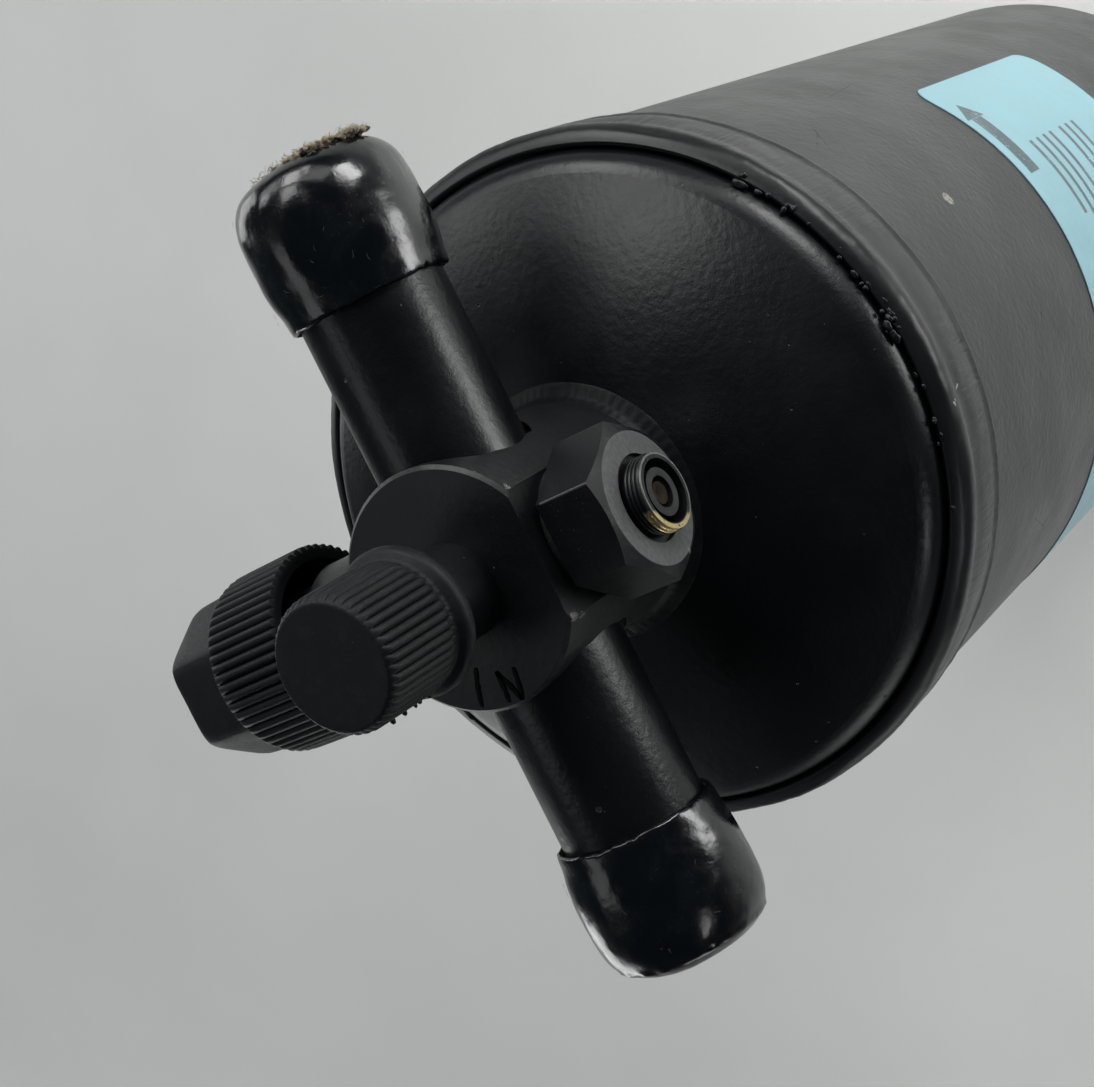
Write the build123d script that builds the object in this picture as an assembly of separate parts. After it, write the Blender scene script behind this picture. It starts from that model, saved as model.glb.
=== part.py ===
from build123d import *
import math
import os

# Receiver drier (filter drier) for a vehicle air-conditioning circuit.
# Millimetres. Origin: centre of the can's foot. +Z: can axis, head up.
# +X: inlet line stub, -X: outlet line stub, +Y: switch port, -Y: service port.

# ---- driving dimensions -------------------------------------------------

# can and welded end
CAN_R = 50.8              # outside radius of the can
CAN_WALL = 2.0
CAN_HEIGHT = 195.0        # foot to the can's upper edge
CAN_CORNER_R = 8.0        # outside radius of the drawn bottom corner
FOOT_DISH = 2.5           # how far the bottom is pushed in inside its foot ring
FOOT_WIDTH = 6.0          # flat ring that the can stands on
END_WALL = 2.0
END_GAP = 0.05            # end's skirt inside the can
SKIRT_DEPTH = 14.0        # skirt below the can's upper edge
SKIRT_RISE = 0.6          # skirt above the can's upper edge
KNUCKLE_R = 5.0
KNUCKLE_SWEEP = 64.0      # degrees of the rolled knuckle
CROWN_R = 91.0
LAND_RIM = 0.1            # flat land outside the head's weld

# girth weld over the joint of the can and its end
BEAD_BELOW = 12.7         # weld toe on the can
BEAD_ABOVE = 2.1          # weld toe on the end
BEAD_PROUD = 1.15         # height of the two humps over the can
BEAD_VALLEY = 0.75        # height between the humps
BEAD_LOWER_HUMP = 9.9     # humps below the can's edge
BEAD_UPPER_HUMP = 2.5
BEAD_SHOULDER = 0.4       # rounding at the bead's upper edge
BEAD_TOE = 0.9            # width of the toe on the end

# head block
HEAD_R = 16.56
HEAD_CHAMFER = 0.5
FACE_MARGIN = 1.1         # face of the block above the stubs' spot-faces
SPIGOT_R = 13.0
SPIGOT_GAP = 0.05
SPIGOT_DEPTH = 7.4        # spigot below the land
HEAD_WELD_LEG = 2.2
HEAD_WELD_THROAT = 0.88
PORT_HEIGHT = 34.5        # line stubs and switch port, above the can's edge
SERVICE_RISE = 2.9        # service port above the other ports
FLAT_FROM_AXIS = 14.0     # milled flats of the switch and service ports
FLAT_DROP = 14.5          # lower end of the flats below the switch port
OVERCUT = 1.0             # how far a cut runs past a surface

# line stubs
STUB_R = 10.15
STUB_BORE_R = 6.5
STUB_SEAT = 9.0           # inner end of the stub from the can's axis
STUB_REACH = 55.6         # outer end of the stub from the can's axis
SPOTFACE_GAP = 0.8        # spot-face round the stub
SPOTFACE_SEAT = 13.6      # spot-face from the can's axis
THREAD_STEP = 0.625       # stub's radius over that of its 3/4-16 male thread
LINE_THREAD_LENGTH = 10.0
RUNOUT_WIDTH = 1.6
RUNOUT_DEPTH = 1.0
FLARE_NOSE_LENGTH = 2.6   # cone in front of the thread

# soft caps on the line stubs
VINYL_GAP = 0.1           # round the stub and at its end
VINYL_LENGTH = 19.75
VINYL_RIM_WALL = 0.9
VINYL_BULGE_WALL = 2.0
VINYL_TIP_WALL = 2.05
VINYL_RIM_LENGTH = 5.7    # open end to the bulge
VINYL_ROUND_LENGTH = 5.75 # rounding of the tip
VINYL_TIP_R = 5.0         # flat at the tip

# switch port
HEX_AF = 19.05
HEX_LENGTH = 9.14
HEX_FACE_INSET = 0.665    # turned end face inside the flats
HEX_CHAMFER_ANGLE = 28.0
HEX_NECK_R = 7.0
ORING_HEIGHT = 1.3        # gap under the hexagon
ORING_WIDTH = 1.82
SWITCH_THREAD_R = 6.0     # thread in the head block
SWITCH_STUB_R = 5.0       # threaded stub for a pressure switch
SWITCH_STUB_PROUD = 2.68  # stub beyond the hexagon
SWITCH_STUB_WALL = 0.75
SWITCH_STUB_BORE_DEPTH = 3.1
SWITCH_RECESS_GAP = 0.9   # recess round the stub
SWITCH_RECESS_DEPTH = 0.8
SWITCH_CORE_INSET = 0.47

# quick-coupler ports
PORT_INNER_END = 6.0      # inner end of the side ports from the can's axis
CHARGE_THREAD_R = 5.0
CHARGE_THREAD_DEPTH = 8.05
CHARGE_NOSE_R = 6.5
CHARGE_NOSE_LENGTH = 19.45
CHARGE_MOUTH_R = 4.0
SERVICE_THREAD_R = 6.0
SERVICE_COLLAR_R = 9.5
SERVICE_COLLAR_LENGTH = 11.4
SERVICE_NOSE_R = 8.0
SERVICE_NOSE_LENGTH = 15.6
SERVICE_MOUTH_R = 5.0
MOUTH_DEPTH = 8.5
COUPLER_GROOVE = 0.8      # depth of the coupler's grip groove
COUPLER_GROOVE_WIDTH = 2.6
COUPLER_LIP = 3.2         # nose in front of the groove

# valve cores
CORE_R = 3.2
CORE_LOWER_R = 2.9
CORE_SHOULDER = 4.0
CORE_LENGTH = 10.0
CORE_WELL_R = 2.1
CORE_WELL_DEPTH = 4.2
CORE_BRIDGE = 2.0
CORE_PASSAGE_R = 1.7
PIN_R = 0.7
PIN_GAP = 0.08
PIN_INSET = 0.4
PIN_HEAD_R = 1.5
PIN_HEAD_LENGTH = 0.6
VALVE_R = 2.3
VALVE_LENGTH = 1.2
VALVE_GAP = 0.05
VALVE_ROOM = 3.1          # chamber under the core for the valve's travel
PORT_PASSAGE_R = 2.0
CORE_SPRING_WIRE_R = 0.17
CORE_SPRING_TURNS = 4

# screw caps
CHARGE_CAP_HEAD = 7.3     # cap beyond the port's mouth
CHARGE_CAP_LENGTH = 16.3
CHARGE_CAP_CLEARANCE = 0.7
CHARGE_CAP_WALL = 1.15
CHARGE_CAP_RIB = 0.55
CHARGE_CAP_RIBS = 44
CHARGE_FLANGE_PROUD = 1.49
CHARGE_FLANGE_WIDTH = 2.1
CHARGE_CAP_FLOOR = 2.4
SERVICE_CAP_HEAD = 10.6   # cap beyond the port's mouth
SERVICE_CAP_LENGTH = 23.5
SERVICE_RIB_LENGTH = 13.9
SERVICE_CAP_CLEARANCE = 3.2
SERVICE_CAP_WALL = 1.55
SERVICE_CAP_SHELF = 0.4   # inner shoulder beyond the port's mouth
SERVICE_CAP_RIB = 0.6
SERVICE_CAP_RIBS = 56
SERVICE_CAP_FLOOR = 5.0
RIB_FOOT = 0.6            # rib's foot as a share of the ribs' spacing
RIB_CROWN = 0.45          # rib's crown as a share of its foot
WRENCH_AF = 22.0
WRENCH_CORNER_R = 3.5
WRENCH_TAPER = 3.0
WRENCH_ROUND = 1.0
STUD_GAP = 0.1
STUD_END_GAP = 2.0        # stud's end off the valve core
BOSS_WIDTH = 2.0          # gasket and boss outside the port's mouth
GASKET_THICKNESS = 1.6

# inside
PICKUP_R = 4.76
PICKUP_WALL = 0.9
PICKUP_SOCKET = 12.0      # tube inside the head block
PICKUP_LIFT = 6.0         # open end above the can's floor
OUTLET_DRILL_R = 3.8
INLET_DRILL_R = 2.8
INLET_DRILL_X = 9.5
INLET_BORE_END = 7.0
OUTLET_BORE_END = 3.0
PLATE_THICKNESS = 1.2
UPPER_PLATE_GAP = 3.5     # upper plate below the end's skirt
PAD_THICKNESS = 8.0
BED_SUPPORT = 80.0        # lower plate's top above the can's floor
TUBE_BEAD_PROUD = 2.84    # swaged bead of the pickup tube that carries the bed
TUBE_BEAD_WIDTH = 2.4
BED_GAP = 0.3             # plates, pads and bed to the can's wall
SCREEN_HOLE_R = 2.5
SCREEN_INNER_RING_R = 16.0
SCREEN_OUTER_RING_R = 30.0
SCREEN_INNER_HOLES = 8
SCREEN_OUTER_HOLES = 14
BED_SPRING_WIRE_R = 1.3
BED_SPRING_GAP = 0.6      # spring to the head block's spigot
BED_SPRING_TURNS = 4

# label
LABEL_TOP = 68.0          # below the can's upper edge
LABEL_HEIGHT = 57.0
LABEL_START = 20.0        # degrees round from +X
LABEL_END = 131.5
LABEL_GLUE = 0.05         # adhesive between the can and the film
LABEL_THICKNESS = 0.12
LABEL_CORNER_R = 4.0

# ---- derived places -----------------------------------------------------

EDGE = CAN_HEIGHT
SPOTFACE_R = STUB_R + SPOTFACE_GAP
HEAD_TOP = PORT_HEIGHT + SPOTFACE_R + FACE_MARGIN
FACE_Z = EDGE + HEAD_TOP
PORT_Z = EDGE + PORT_HEIGHT
SERVICE_Z = PORT_Z + SERVICE_RISE
CAN_BORE_R = CAN_R - CAN_WALL
SKIRT_R = CAN_BORE_R - END_GAP
CAN_FLOOR = FOOT_DISH + CAN_WALL
LINE_THREAD_R = STUB_R - THREAD_STEP

# the welded end's knuckle and crown are arcs about these points (radius, height)
SWEEP = math.radians(KNUCKLE_SWEEP)
KNUCKLE_C = (SKIRT_R - KNUCKLE_R, EDGE + SKIRT_RISE)
CROWN_REACH = CROWN_R - KNUCKLE_R
CROWN_C = (KNUCKLE_C[0] - CROWN_REACH * math.cos(SWEEP), KNUCKLE_C[1] - CROWN_REACH * math.sin(SWEEP))
LAND_R = HEAD_R + HEAD_WELD_LEG + LAND_RIM
LAND_Z = CROWN_C[1] + math.sqrt(CROWN_R ** 2 - (LAND_R - CROWN_C[0]) ** 2)

# heights along the ports' own axes
HEX_SEAT = FLAT_FROM_AXIS + ORING_HEIGHT
HEX_END = HEX_SEAT + HEX_LENGTH
SWITCH_STUB_END = HEX_END + SWITCH_STUB_PROUD
SWITCH_CORE_TOP = SWITCH_STUB_END - SWITCH_CORE_INSET
CHARGE_NOSE_END = HEAD_TOP + CHARGE_NOSE_LENGTH
CHARGE_CORE_TOP = CHARGE_NOSE_END - MOUTH_DEPTH
SERVICE_COLLAR_END = FLAT_FROM_AXIS + SERVICE_COLLAR_LENGTH
SERVICE_NOSE_END = SERVICE_COLLAR_END + SERVICE_NOSE_LENGTH
SERVICE_CORE_TOP = SERVICE_NOSE_END - MOUTH_DEPTH
CORE_BOTTOM = CORE_LENGTH + VALVE_ROOM

# screw caps along the ports' axes
CHARGE_CAP_END = CHARGE_NOSE_END + CHARGE_CAP_HEAD
CHARGE_CAP_REAR = CHARGE_CAP_END - CHARGE_CAP_LENGTH
CHARGE_CAP_BORE_R = CHARGE_NOSE_R + CHARGE_CAP_CLEARANCE
CHARGE_CAP_ROOT_R = CHARGE_CAP_BORE_R + CHARGE_CAP_WALL
SERVICE_CAP_END = SERVICE_NOSE_END + SERVICE_CAP_HEAD
SERVICE_CAP_REAR = SERVICE_CAP_END - SERVICE_CAP_LENGTH
SERVICE_CAP_RIB_END = SERVICE_CAP_REAR + SERVICE_RIB_LENGTH
SERVICE_CAP_BORE_R = SERVICE_NOSE_R + SERVICE_CAP_CLEARANCE
SERVICE_CAP_ROOT_R = SERVICE_CAP_BORE_R + SERVICE_CAP_WALL

# inside the can
PICKUP_CLEAR_R = PICKUP_R + BED_GAP
FILL_R = CAN_BORE_R - BED_GAP
UPPER_PLATE_TOP = EDGE - SKIRT_DEPTH - UPPER_PLATE_GAP
UPPER_PAD_TOP = UPPER_PLATE_TOP - PLATE_THICKNESS
LOWER_PLATE_TOP = CAN_FLOOR + BED_SUPPORT
LOWER_PAD_TOP = LOWER_PLATE_TOP + PAD_THICKNESS

os.makedirs("parts", exist_ok=True)


def write(name, solid):
    export_step(solid, f"parts/{name}.step")


def turned(*curves):
    """Solid of revolution about Z from a closed outline of (radius, height) curves."""
    edges = [edge for curve in curves for edge in curve.edges()]
    return revolve(Plane.XZ * make_face(edges), Axis.Z)


def turned_points(*points):
    """Solid of revolution about Z from (radius, height) corners."""
    outline = Plane.XZ * make_face(Polyline(*points, close=True))
    return revolve(outline, Axis.Z)


def rod(radius, low, high):
    """Cylinder on the Z axis between two heights."""
    return Pos(0, 0, low) * Cylinder(radius, high - low, align=(Align.CENTER, Align.CENTER, Align.MIN))


def ring(outer, inner, low, high):
    return rod(outer, low, high) - rod(inner, low, high)


def coil(mean_r, wire_r, low, high, turns):
    """Helical spring whose wire lies between two heights."""
    rise = high - low - 2 * wire_r
    path = Pos(0, 0, low + wire_r) * Helix(pitch=rise / turns, height=rise, radius=mean_r)
    section = Plane(origin=path @ 0, z_dir=path % 0) * Circle(wire_r)
    return sweep(section, path=path)


# Places of the ports: local +Z points out of the head block.
TO_INLET = Pos(0, 0, PORT_Z) * Rot(0, 90, 0)
TO_OUTLET = Pos(0, 0, PORT_Z) * Rot(0, -90, 0)
TO_SWITCH = Pos(0, 0, PORT_Z) * Rot(-90, 0, 0)
TO_SERVICE = Pos(0, 0, SERVICE_Z) * Rot(90, 0, 0)
TO_CHARGE = Pos(0, 0, EDGE)


# ---- can, end and welds -------------------------------------------------

def can_outline(inset):
    """Outside of the can moved inwards by inset, as a closed outline."""
    r = CAN_R - inset
    corner = CAN_CORNER_R - inset
    foot_in = CAN_R - CAN_CORNER_R - FOOT_WIDTH
    dish_in = foot_in - 2 * FOOT_DISH
    bend = corner * math.sqrt(0.5)
    centre = (CAN_R - CAN_CORNER_R, CAN_CORNER_R)
    return [
        Polyline((0, FOOT_DISH + inset), (dish_in, FOOT_DISH + inset), (foot_in, inset), (centre[0], inset)),
        ThreePointArc((centre[0], inset), (centre[0] + bend, centre[1] - bend), (r, centre[1])),
        Polyline((r, centre[1]), (r, EDGE), (0, EDGE), (0, FOOT_DISH + inset)),
    ]


def can_shell():
    return turned(*can_outline(0)) - turned(*can_outline(CAN_WALL))


def end_outline(inset):
    """Outside of the welded end moved inwards by inset, as a closed outline."""
    radius = KNUCKLE_R - inset
    mid = (KNUCKLE_C[0] + radius * math.cos(SWEEP / 2), KNUCKLE_C[1] + radius * math.sin(SWEEP / 2))
    top = (KNUCKLE_C[0] + radius * math.cos(SWEEP), KNUCKLE_C[1] + radius * math.sin(SWEEP))
    land_z = LAND_Z - inset
    crown_r = CROWN_R - inset
    land_r = CROWN_C[0] + math.sqrt(crown_r ** 2 - (land_z - CROWN_C[1]) ** 2)
    half = (math.atan2(land_z - CROWN_C[1], land_r - CROWN_C[0]) + SWEEP) / 2
    crown_mid = (CROWN_C[0] + crown_r * math.cos(half), CROWN_C[1] + crown_r * math.sin(half))
    skirt = SKIRT_R - inset
    foot = EDGE - SKIRT_DEPTH
    return [
        Polyline((0, land_z), (0, foot), (skirt, foot), (skirt, KNUCKLE_C[1])),
        ThreePointArc((skirt, KNUCKLE_C[1]), mid, top),
        ThreePointArc(top, crown_mid, (land_r, land_z)),
        Line((land_r, land_z), (0, land_z)),
    ]


def top_dome():
    shell = turned(*end_outline(0)) - turned(*end_outline(END_WALL))
    return shell - rod(SPIGOT_R + SPIGOT_GAP, EDGE, FACE_Z)


def girth_weld_bead():
    """Weld with two low humps, from the can's wall over its edge to the end's skirt."""
    foot = (CAN_R, EDGE - BEAD_BELOW)
    lower_hump = (CAN_R + BEAD_PROUD, EDGE - BEAD_LOWER_HUMP)
    valley = (CAN_R + BEAD_VALLEY, EDGE - (BEAD_LOWER_HUMP + BEAD_UPPER_HUMP) / 2)
    upper_hump = (CAN_R + BEAD_PROUD, EDGE - BEAD_UPPER_HUMP)
    shoulder = (CAN_R - BEAD_SHOULDER, EDGE + BEAD_ABOVE - BEAD_SHOULDER)
    toe = (SKIRT_R + BEAD_TOE, EDGE + BEAD_ABOVE)
    root = (SKIRT_R, EDGE + SKIRT_RISE)
    return turned(
        Spline(foot, lower_hump, valley, upper_hump, shoulder),
        Polyline(shoulder, toe, root, (SKIRT_R, EDGE), (CAN_R, EDGE), foot),
    )


def head_weld_ring():
    foot = (HEAD_R + HEAD_WELD_LEG, LAND_Z)
    top = (HEAD_R, LAND_Z + HEAD_WELD_LEG)
    return turned(
        Polyline(top, (HEAD_R, LAND_Z), foot),
        ThreePointArc(foot, (HEAD_R + HEAD_WELD_THROAT, LAND_Z + HEAD_WELD_THROAT), top),
    )


# ---- head block ---------------------------------------------------------

def head_block():
    body = chamfer(rod(HEAD_R, LAND_Z, FACE_Z).edges().sort_by(Axis.Z)[-1], HEAD_CHAMFER)
    body += rod(SPIGOT_R, LAND_Z - SPIGOT_DEPTH, LAND_Z)
    flat_foot = PORT_Z - FLAT_DROP
    flat = Box(2 * HEAD_R, HEAD_R, FACE_Z + OVERCUT - flat_foot, align=(Align.CENTER, Align.MIN, Align.MIN))
    body -= Pos(0, FLAT_FROM_AXIS, flat_foot) * flat
    body -= Pos(0, -FLAT_FROM_AXIS - HEAD_R, flat_foot) * flat
    for place in (TO_INLET, TO_OUTLET):
        body -= place * rod(SPOTFACE_R, SPOTFACE_SEAT, 2 * HEAD_R)
        body -= place * rod(STUB_R, STUB_SEAT, 2 * HEAD_R)
    body -= TO_INLET * rod(STUB_BORE_R, INLET_BORE_END, HEAD_R)
    body -= TO_OUTLET * rod(STUB_BORE_R, -OUTLET_BORE_END, HEAD_R)
    foot = LAND_Z - SPIGOT_DEPTH
    body -= Pos(INLET_DRILL_X, 0, 0) * rod(INLET_DRILL_R, foot, PORT_Z)
    body -= rod(PICKUP_R, foot, foot + PICKUP_SOCKET)
    body -= rod(OUTLET_DRILL_R, foot, PORT_Z)
    body -= TO_SWITCH * rod(SWITCH_THREAD_R, PORT_INNER_END, HEAD_R)
    body -= TO_SERVICE * rod(SERVICE_THREAD_R, PORT_INNER_END, HEAD_R)
    body -= rod(CHARGE_THREAD_R, FACE_Z - CHARGE_THREAD_DEPTH, FACE_Z)
    return body


# ---- line stubs and their soft caps -------------------------------------

def line_stub():
    """Stub along local +Z: plain barrel, thread runout, male thread, flare nose."""
    thread_end = STUB_REACH - FLARE_NOSE_LENGTH
    thread_start = thread_end - LINE_THREAD_LENGTH
    runout = thread_start - RUNOUT_WIDTH
    runout_r = LINE_THREAD_R - RUNOUT_DEPTH
    nose_r = LINE_THREAD_R - RUNOUT_DEPTH
    tip_r = (nose_r + STUB_BORE_R) / 2
    shoulder = STUB_R - LINE_THREAD_R
    return turned_points(
        (STUB_BORE_R, STUB_SEAT),
        (STUB_R, STUB_SEAT),
        (STUB_R, runout - shoulder),
        (LINE_THREAD_R, runout),
        (runout_r, runout),
        (runout_r, thread_start),
        (LINE_THREAD_R, thread_start + RUNOUT_DEPTH),
        (LINE_THREAD_R, thread_end - RUNOUT_DEPTH / 2),
        (nose_r, thread_end),
        (tip_r, STUB_REACH),
        (STUB_BORE_R, STUB_REACH),
    )


def vinyl_cap():
    """Soft cup along local +Z, bulged, with a rounded closed tip."""
    bore = STUB_R + VINYL_GAP
    floor = STUB_REACH + VINYL_GAP
    tip = floor + VINYL_TIP_WALL
    rim = tip - VINYL_LENGTH
    lip = VINYL_RIM_WALL / 2
    rim_r = bore + VINYL_RIM_WALL
    bulge_r = bore + VINYL_BULGE_WALL
    bulge = rim + VINYL_RIM_LENGTH
    rounding = tip - VINYL_ROUND_LENGTH
    half = math.sqrt(0.5)
    mid = (VINYL_TIP_R + (bulge_r - VINYL_TIP_R) * half, rounding + VINYL_ROUND_LENGTH * half)
    return turned(
        Polyline((0, tip), (0, floor), (bore, floor), (bore, rim), (bore + lip, rim), (rim_r, rim + lip)),
        Spline((rim_r, rim + lip), (bulge_r, bulge), (bulge_r, rounding), tangents=((0.35, 1), (0, 1))),
        ThreePointArc((bulge_r, rounding), mid, (VINYL_TIP_R, tip)),
        Line((VINYL_TIP_R, tip), (0, tip)),
    )


# ---- valve cores --------------------------------------------------------

def core_body(top):
    """Valve core's body, its top face at local height top."""
    body = rod(CORE_R, top - CORE_SHOULDER, top) + rod(CORE_LOWER_R, top - CORE_LENGTH, top - CORE_SHOULDER)
    body -= rod(CORE_WELL_R, top - CORE_WELL_DEPTH, top)
    body -= rod(PIN_R + PIN_GAP, top - CORE_WELL_DEPTH - CORE_BRIDGE, top)
    return body - rod(CORE_PASSAGE_R, top - CORE_LENGTH, top - CORE_WELL_DEPTH - CORE_BRIDGE)


def core_pin(top):
    valve_top = top - CORE_LENGTH - VALVE_GAP
    head_top = top - PIN_INSET
    head = rod(PIN_HEAD_R, head_top - PIN_HEAD_LENGTH, head_top)
    return rod(PIN_R, valve_top, head_top) + head + rod(VALVE_R, valve_top - VALVE_LENGTH, valve_top)


def core_spring(top):
    low = top - CORE_WELL_DEPTH
    high = top - PIN_INSET - PIN_HEAD_LENGTH
    mean_r = (PIN_R + CORE_WELL_R) / 2
    return coil(mean_r, CORE_SPRING_WIRE_R, low, high, CORE_SPRING_TURNS)


def core_seat(top, low):
    """Room for a valve core and its passage, cut from a port body."""
    room = rod(CORE_R, top - CORE_SHOULDER, top)
    room += rod(CORE_LOWER_R, top - CORE_BOTTOM, top - CORE_SHOULDER)
    return room + rod(PORT_PASSAGE_R, low, top - CORE_BOTTOM)


# ---- ports --------------------------------------------------------------

def coupler_nose(radius, start, end):
    """Quick-coupler nose with its grip groove and a chamfered mouth edge."""
    groove_top = end - COUPLER_LIP
    nose = chamfer(rod(radius, start, end).edges().sort_by(Axis.Z)[-1], COUPLER_GROOVE)
    return nose - ring(radius + OVERCUT, radius - COUPLER_GROOVE, groove_top - COUPLER_GROOVE_WIDTH, groove_top)


def charge_port_body():
    low = HEAD_TOP - CHARGE_THREAD_DEPTH
    body = rod(CHARGE_THREAD_R, low, HEAD_TOP) + coupler_nose(CHARGE_NOSE_R, HEAD_TOP, CHARGE_NOSE_END)
    return body - rod(CHARGE_MOUTH_R, CHARGE_CORE_TOP, CHARGE_NOSE_END) - core_seat(CHARGE_CORE_TOP, low)


def service_port_body():
    collar = rod(SERVICE_COLLAR_R, FLAT_FROM_AXIS, SERVICE_COLLAR_END)
    collar = chamfer(collar.edges().sort_by(Axis.Z)[-1], COUPLER_GROOVE)
    body = rod(SERVICE_THREAD_R, PORT_INNER_END, FLAT_FROM_AXIS) + collar
    body += coupler_nose(SERVICE_NOSE_R, SERVICE_COLLAR_END, SERVICE_NOSE_END)
    body -= rod(SERVICE_MOUTH_R, SERVICE_CORE_TOP, SERVICE_NOSE_END)
    return body - core_seat(SERVICE_CORE_TOP, PORT_INNER_END)


def switch_port_body():
    """Hexagon with a turned end, a recessed ring and a thin threaded stub."""
    corner_r = HEX_AF / math.sqrt(3)
    face_r = HEX_AF / 2 - HEX_FACE_INSET
    hexagon = extrude(RegularPolygon(corner_r, 6), HEX_LENGTH)
    drop = (corner_r - face_r) * math.tan(math.radians(HEX_CHAMFER_ANGLE))
    crown = turned_points(
        (0, HEX_SEAT), (corner_r + OVERCUT, HEX_SEAT), (corner_r + OVERCUT, HEX_END - drop),
        (corner_r, HEX_END - drop), (face_r, HEX_END), (0, HEX_END),
    )
    body = (Pos(0, 0, HEX_SEAT) * hexagon) & crown
    body -= rod(SWITCH_STUB_R + SWITCH_RECESS_GAP, HEX_END - SWITCH_RECESS_DEPTH, HEX_END)
    body += rod(HEX_NECK_R, FLAT_FROM_AXIS, HEX_SEAT) + rod(SWITCH_THREAD_R, PORT_INNER_END, FLAT_FROM_AXIS)
    body += rod(SWITCH_STUB_R, HEX_SEAT, SWITCH_STUB_END)
    body -= rod(SWITCH_STUB_R - SWITCH_STUB_WALL, SWITCH_STUB_END - SWITCH_STUB_BORE_DEPTH, SWITCH_STUB_END)
    return body - core_seat(SWITCH_CORE_TOP, PORT_INNER_END)


def switch_port_oring():
    return ring(HEX_NECK_R + ORING_WIDTH, HEX_NECK_R, FLAT_FROM_AXIS, HEX_SEAT)


# ---- screw caps ---------------------------------------------------------

def ribbed(root_r, rib, count, low, high):
    """Barrel with straight ribs between two heights, bevelled at the upper end."""
    half = math.pi * root_r / count * RIB_FOOT
    tip = half * RIB_CROWN
    wedge = make_face(Polyline(
        (root_r - rib, -half), (root_r, -half), (root_r + rib, -tip),
        (root_r + rib, tip), (root_r, half), (root_r - rib, half), close=True,
    ))
    ribs = [Rot(0, 0, 360 * i / count) * wedge for i in range(count)]
    barrel = extrude(Pos(0, 0, low) * (Circle(root_r) + ribs), high - low)
    around = root_r + 2 * rib
    return barrel & turned_points((0, low), (around, low), (around, high - 2 * rib), (root_r, high), (0, high))


def cap_stud(mouth_r, mouth_end, floor):
    """Threaded stud and the boss that presses the gasket on the port's mouth."""
    boss = rod(mouth_r + BOSS_WIDTH, mouth_end + GASKET_THICKNESS, floor)
    return boss + rod(mouth_r - STUD_GAP, mouth_end - MOUTH_DEPTH + STUD_END_GAP, floor)


def cap_gasket(mouth_r, mouth_end):
    return ring(mouth_r + BOSS_WIDTH, mouth_r - STUD_GAP, mouth_end, mouth_end + GASKET_THICKNESS)


def charge_port_cap():
    flange_end = CHARGE_CAP_REAR + CHARGE_FLANGE_WIDTH
    barrel = ribbed(CHARGE_CAP_ROOT_R, CHARGE_CAP_RIB, CHARGE_CAP_RIBS, flange_end, CHARGE_CAP_END)
    flange = rod(CHARGE_CAP_ROOT_R + CHARGE_FLANGE_PROUD, CHARGE_CAP_REAR, flange_end)
    flange = chamfer(flange.edges().sort_by(Axis.Z)[-1], CHARGE_FLANGE_WIDTH / 3)
    floor = CHARGE_CAP_END - CHARGE_CAP_FLOOR
    cup = barrel + flange - rod(CHARGE_CAP_BORE_R, CHARGE_CAP_REAR, floor)
    return cup + cap_stud(CHARGE_MOUTH_R, CHARGE_NOSE_END, floor)


def service_port_cap():
    barrel = ribbed(
        SERVICE_CAP_ROOT_R, SERVICE_CAP_RIB, SERVICE_CAP_RIBS, SERVICE_CAP_REAR, SERVICE_CAP_RIB_END
    )
    hexagon = RegularPolygon(WRENCH_AF / math.sqrt(3), 6)
    hexagon = fillet(hexagon.vertices(), WRENCH_CORNER_R)
    grip = extrude(
        Pos(0, 0, SERVICE_CAP_RIB_END) * hexagon, SERVICE_CAP_END - SERVICE_CAP_RIB_END, taper=WRENCH_TAPER
    )
    grip = fillet(grip.edges().group_by(Axis.Z)[-1], WRENCH_ROUND)
    floor = SERVICE_CAP_END - SERVICE_CAP_FLOOR
    mouth = rod(SERVICE_CAP_BORE_R, SERVICE_CAP_REAR, SERVICE_NOSE_END + SERVICE_CAP_SHELF)
    hollow = rod(SERVICE_MOUTH_R + BOSS_WIDTH + STUD_GAP, SERVICE_CAP_REAR, floor)
    cup = barrel + grip - mouth - hollow
    return cup + cap_stud(SERVICE_MOUTH_R, SERVICE_NOSE_END, floor)


# ---- inside the can -----------------------------------------------------

def pickup_tube():
    """Tube with a swaged bead that carries the plates, pads and bed."""
    low = CAN_FLOOR + PICKUP_LIFT
    high = LAND_Z - SPIGOT_DEPTH + PICKUP_SOCKET
    bead_top = LOWER_PLATE_TOP - PLATE_THICKNESS
    bead = rod(PICKUP_R + TUBE_BEAD_PROUD, bead_top - TUBE_BEAD_WIDTH, bead_top)
    bead = fillet(bead.edges(), TUBE_BEAD_WIDTH / 3)
    return rod(PICKUP_R, low, high) + bead - rod(PICKUP_R - PICKUP_WALL, low, high)


def screen_holes(low, high):
    rings = ((SCREEN_INNER_RING_R, SCREEN_INNER_HOLES), (SCREEN_OUTER_RING_R, SCREEN_OUTER_HOLES))
    hole = rod(SCREEN_HOLE_R, low, high)
    return [Rot(0, 0, 360 * i / count) * Pos(r, 0, 0) * hole for r, count in rings for i in range(count)]


def upper_screen_plate():
    plate = ring(FILL_R, PICKUP_CLEAR_R, UPPER_PAD_TOP, UPPER_PLATE_TOP)
    return plate - screen_holes(UPPER_PAD_TOP, UPPER_PLATE_TOP)


def lower_screen_plate():
    low = LOWER_PLATE_TOP - PLATE_THICKNESS
    plate = ring(FILL_R, PICKUP_CLEAR_R, low, LOWER_PLATE_TOP)
    return plate - screen_holes(low, LOWER_PLATE_TOP)


def bed_spring():
    mean_r = SPIGOT_R + BED_SPRING_GAP + BED_SPRING_WIRE_R
    return coil(mean_r, BED_SPRING_WIRE_R, UPPER_PLATE_TOP, LAND_Z - END_WALL, BED_SPRING_TURNS)


# ---- label --------------------------------------------------------------

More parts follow.
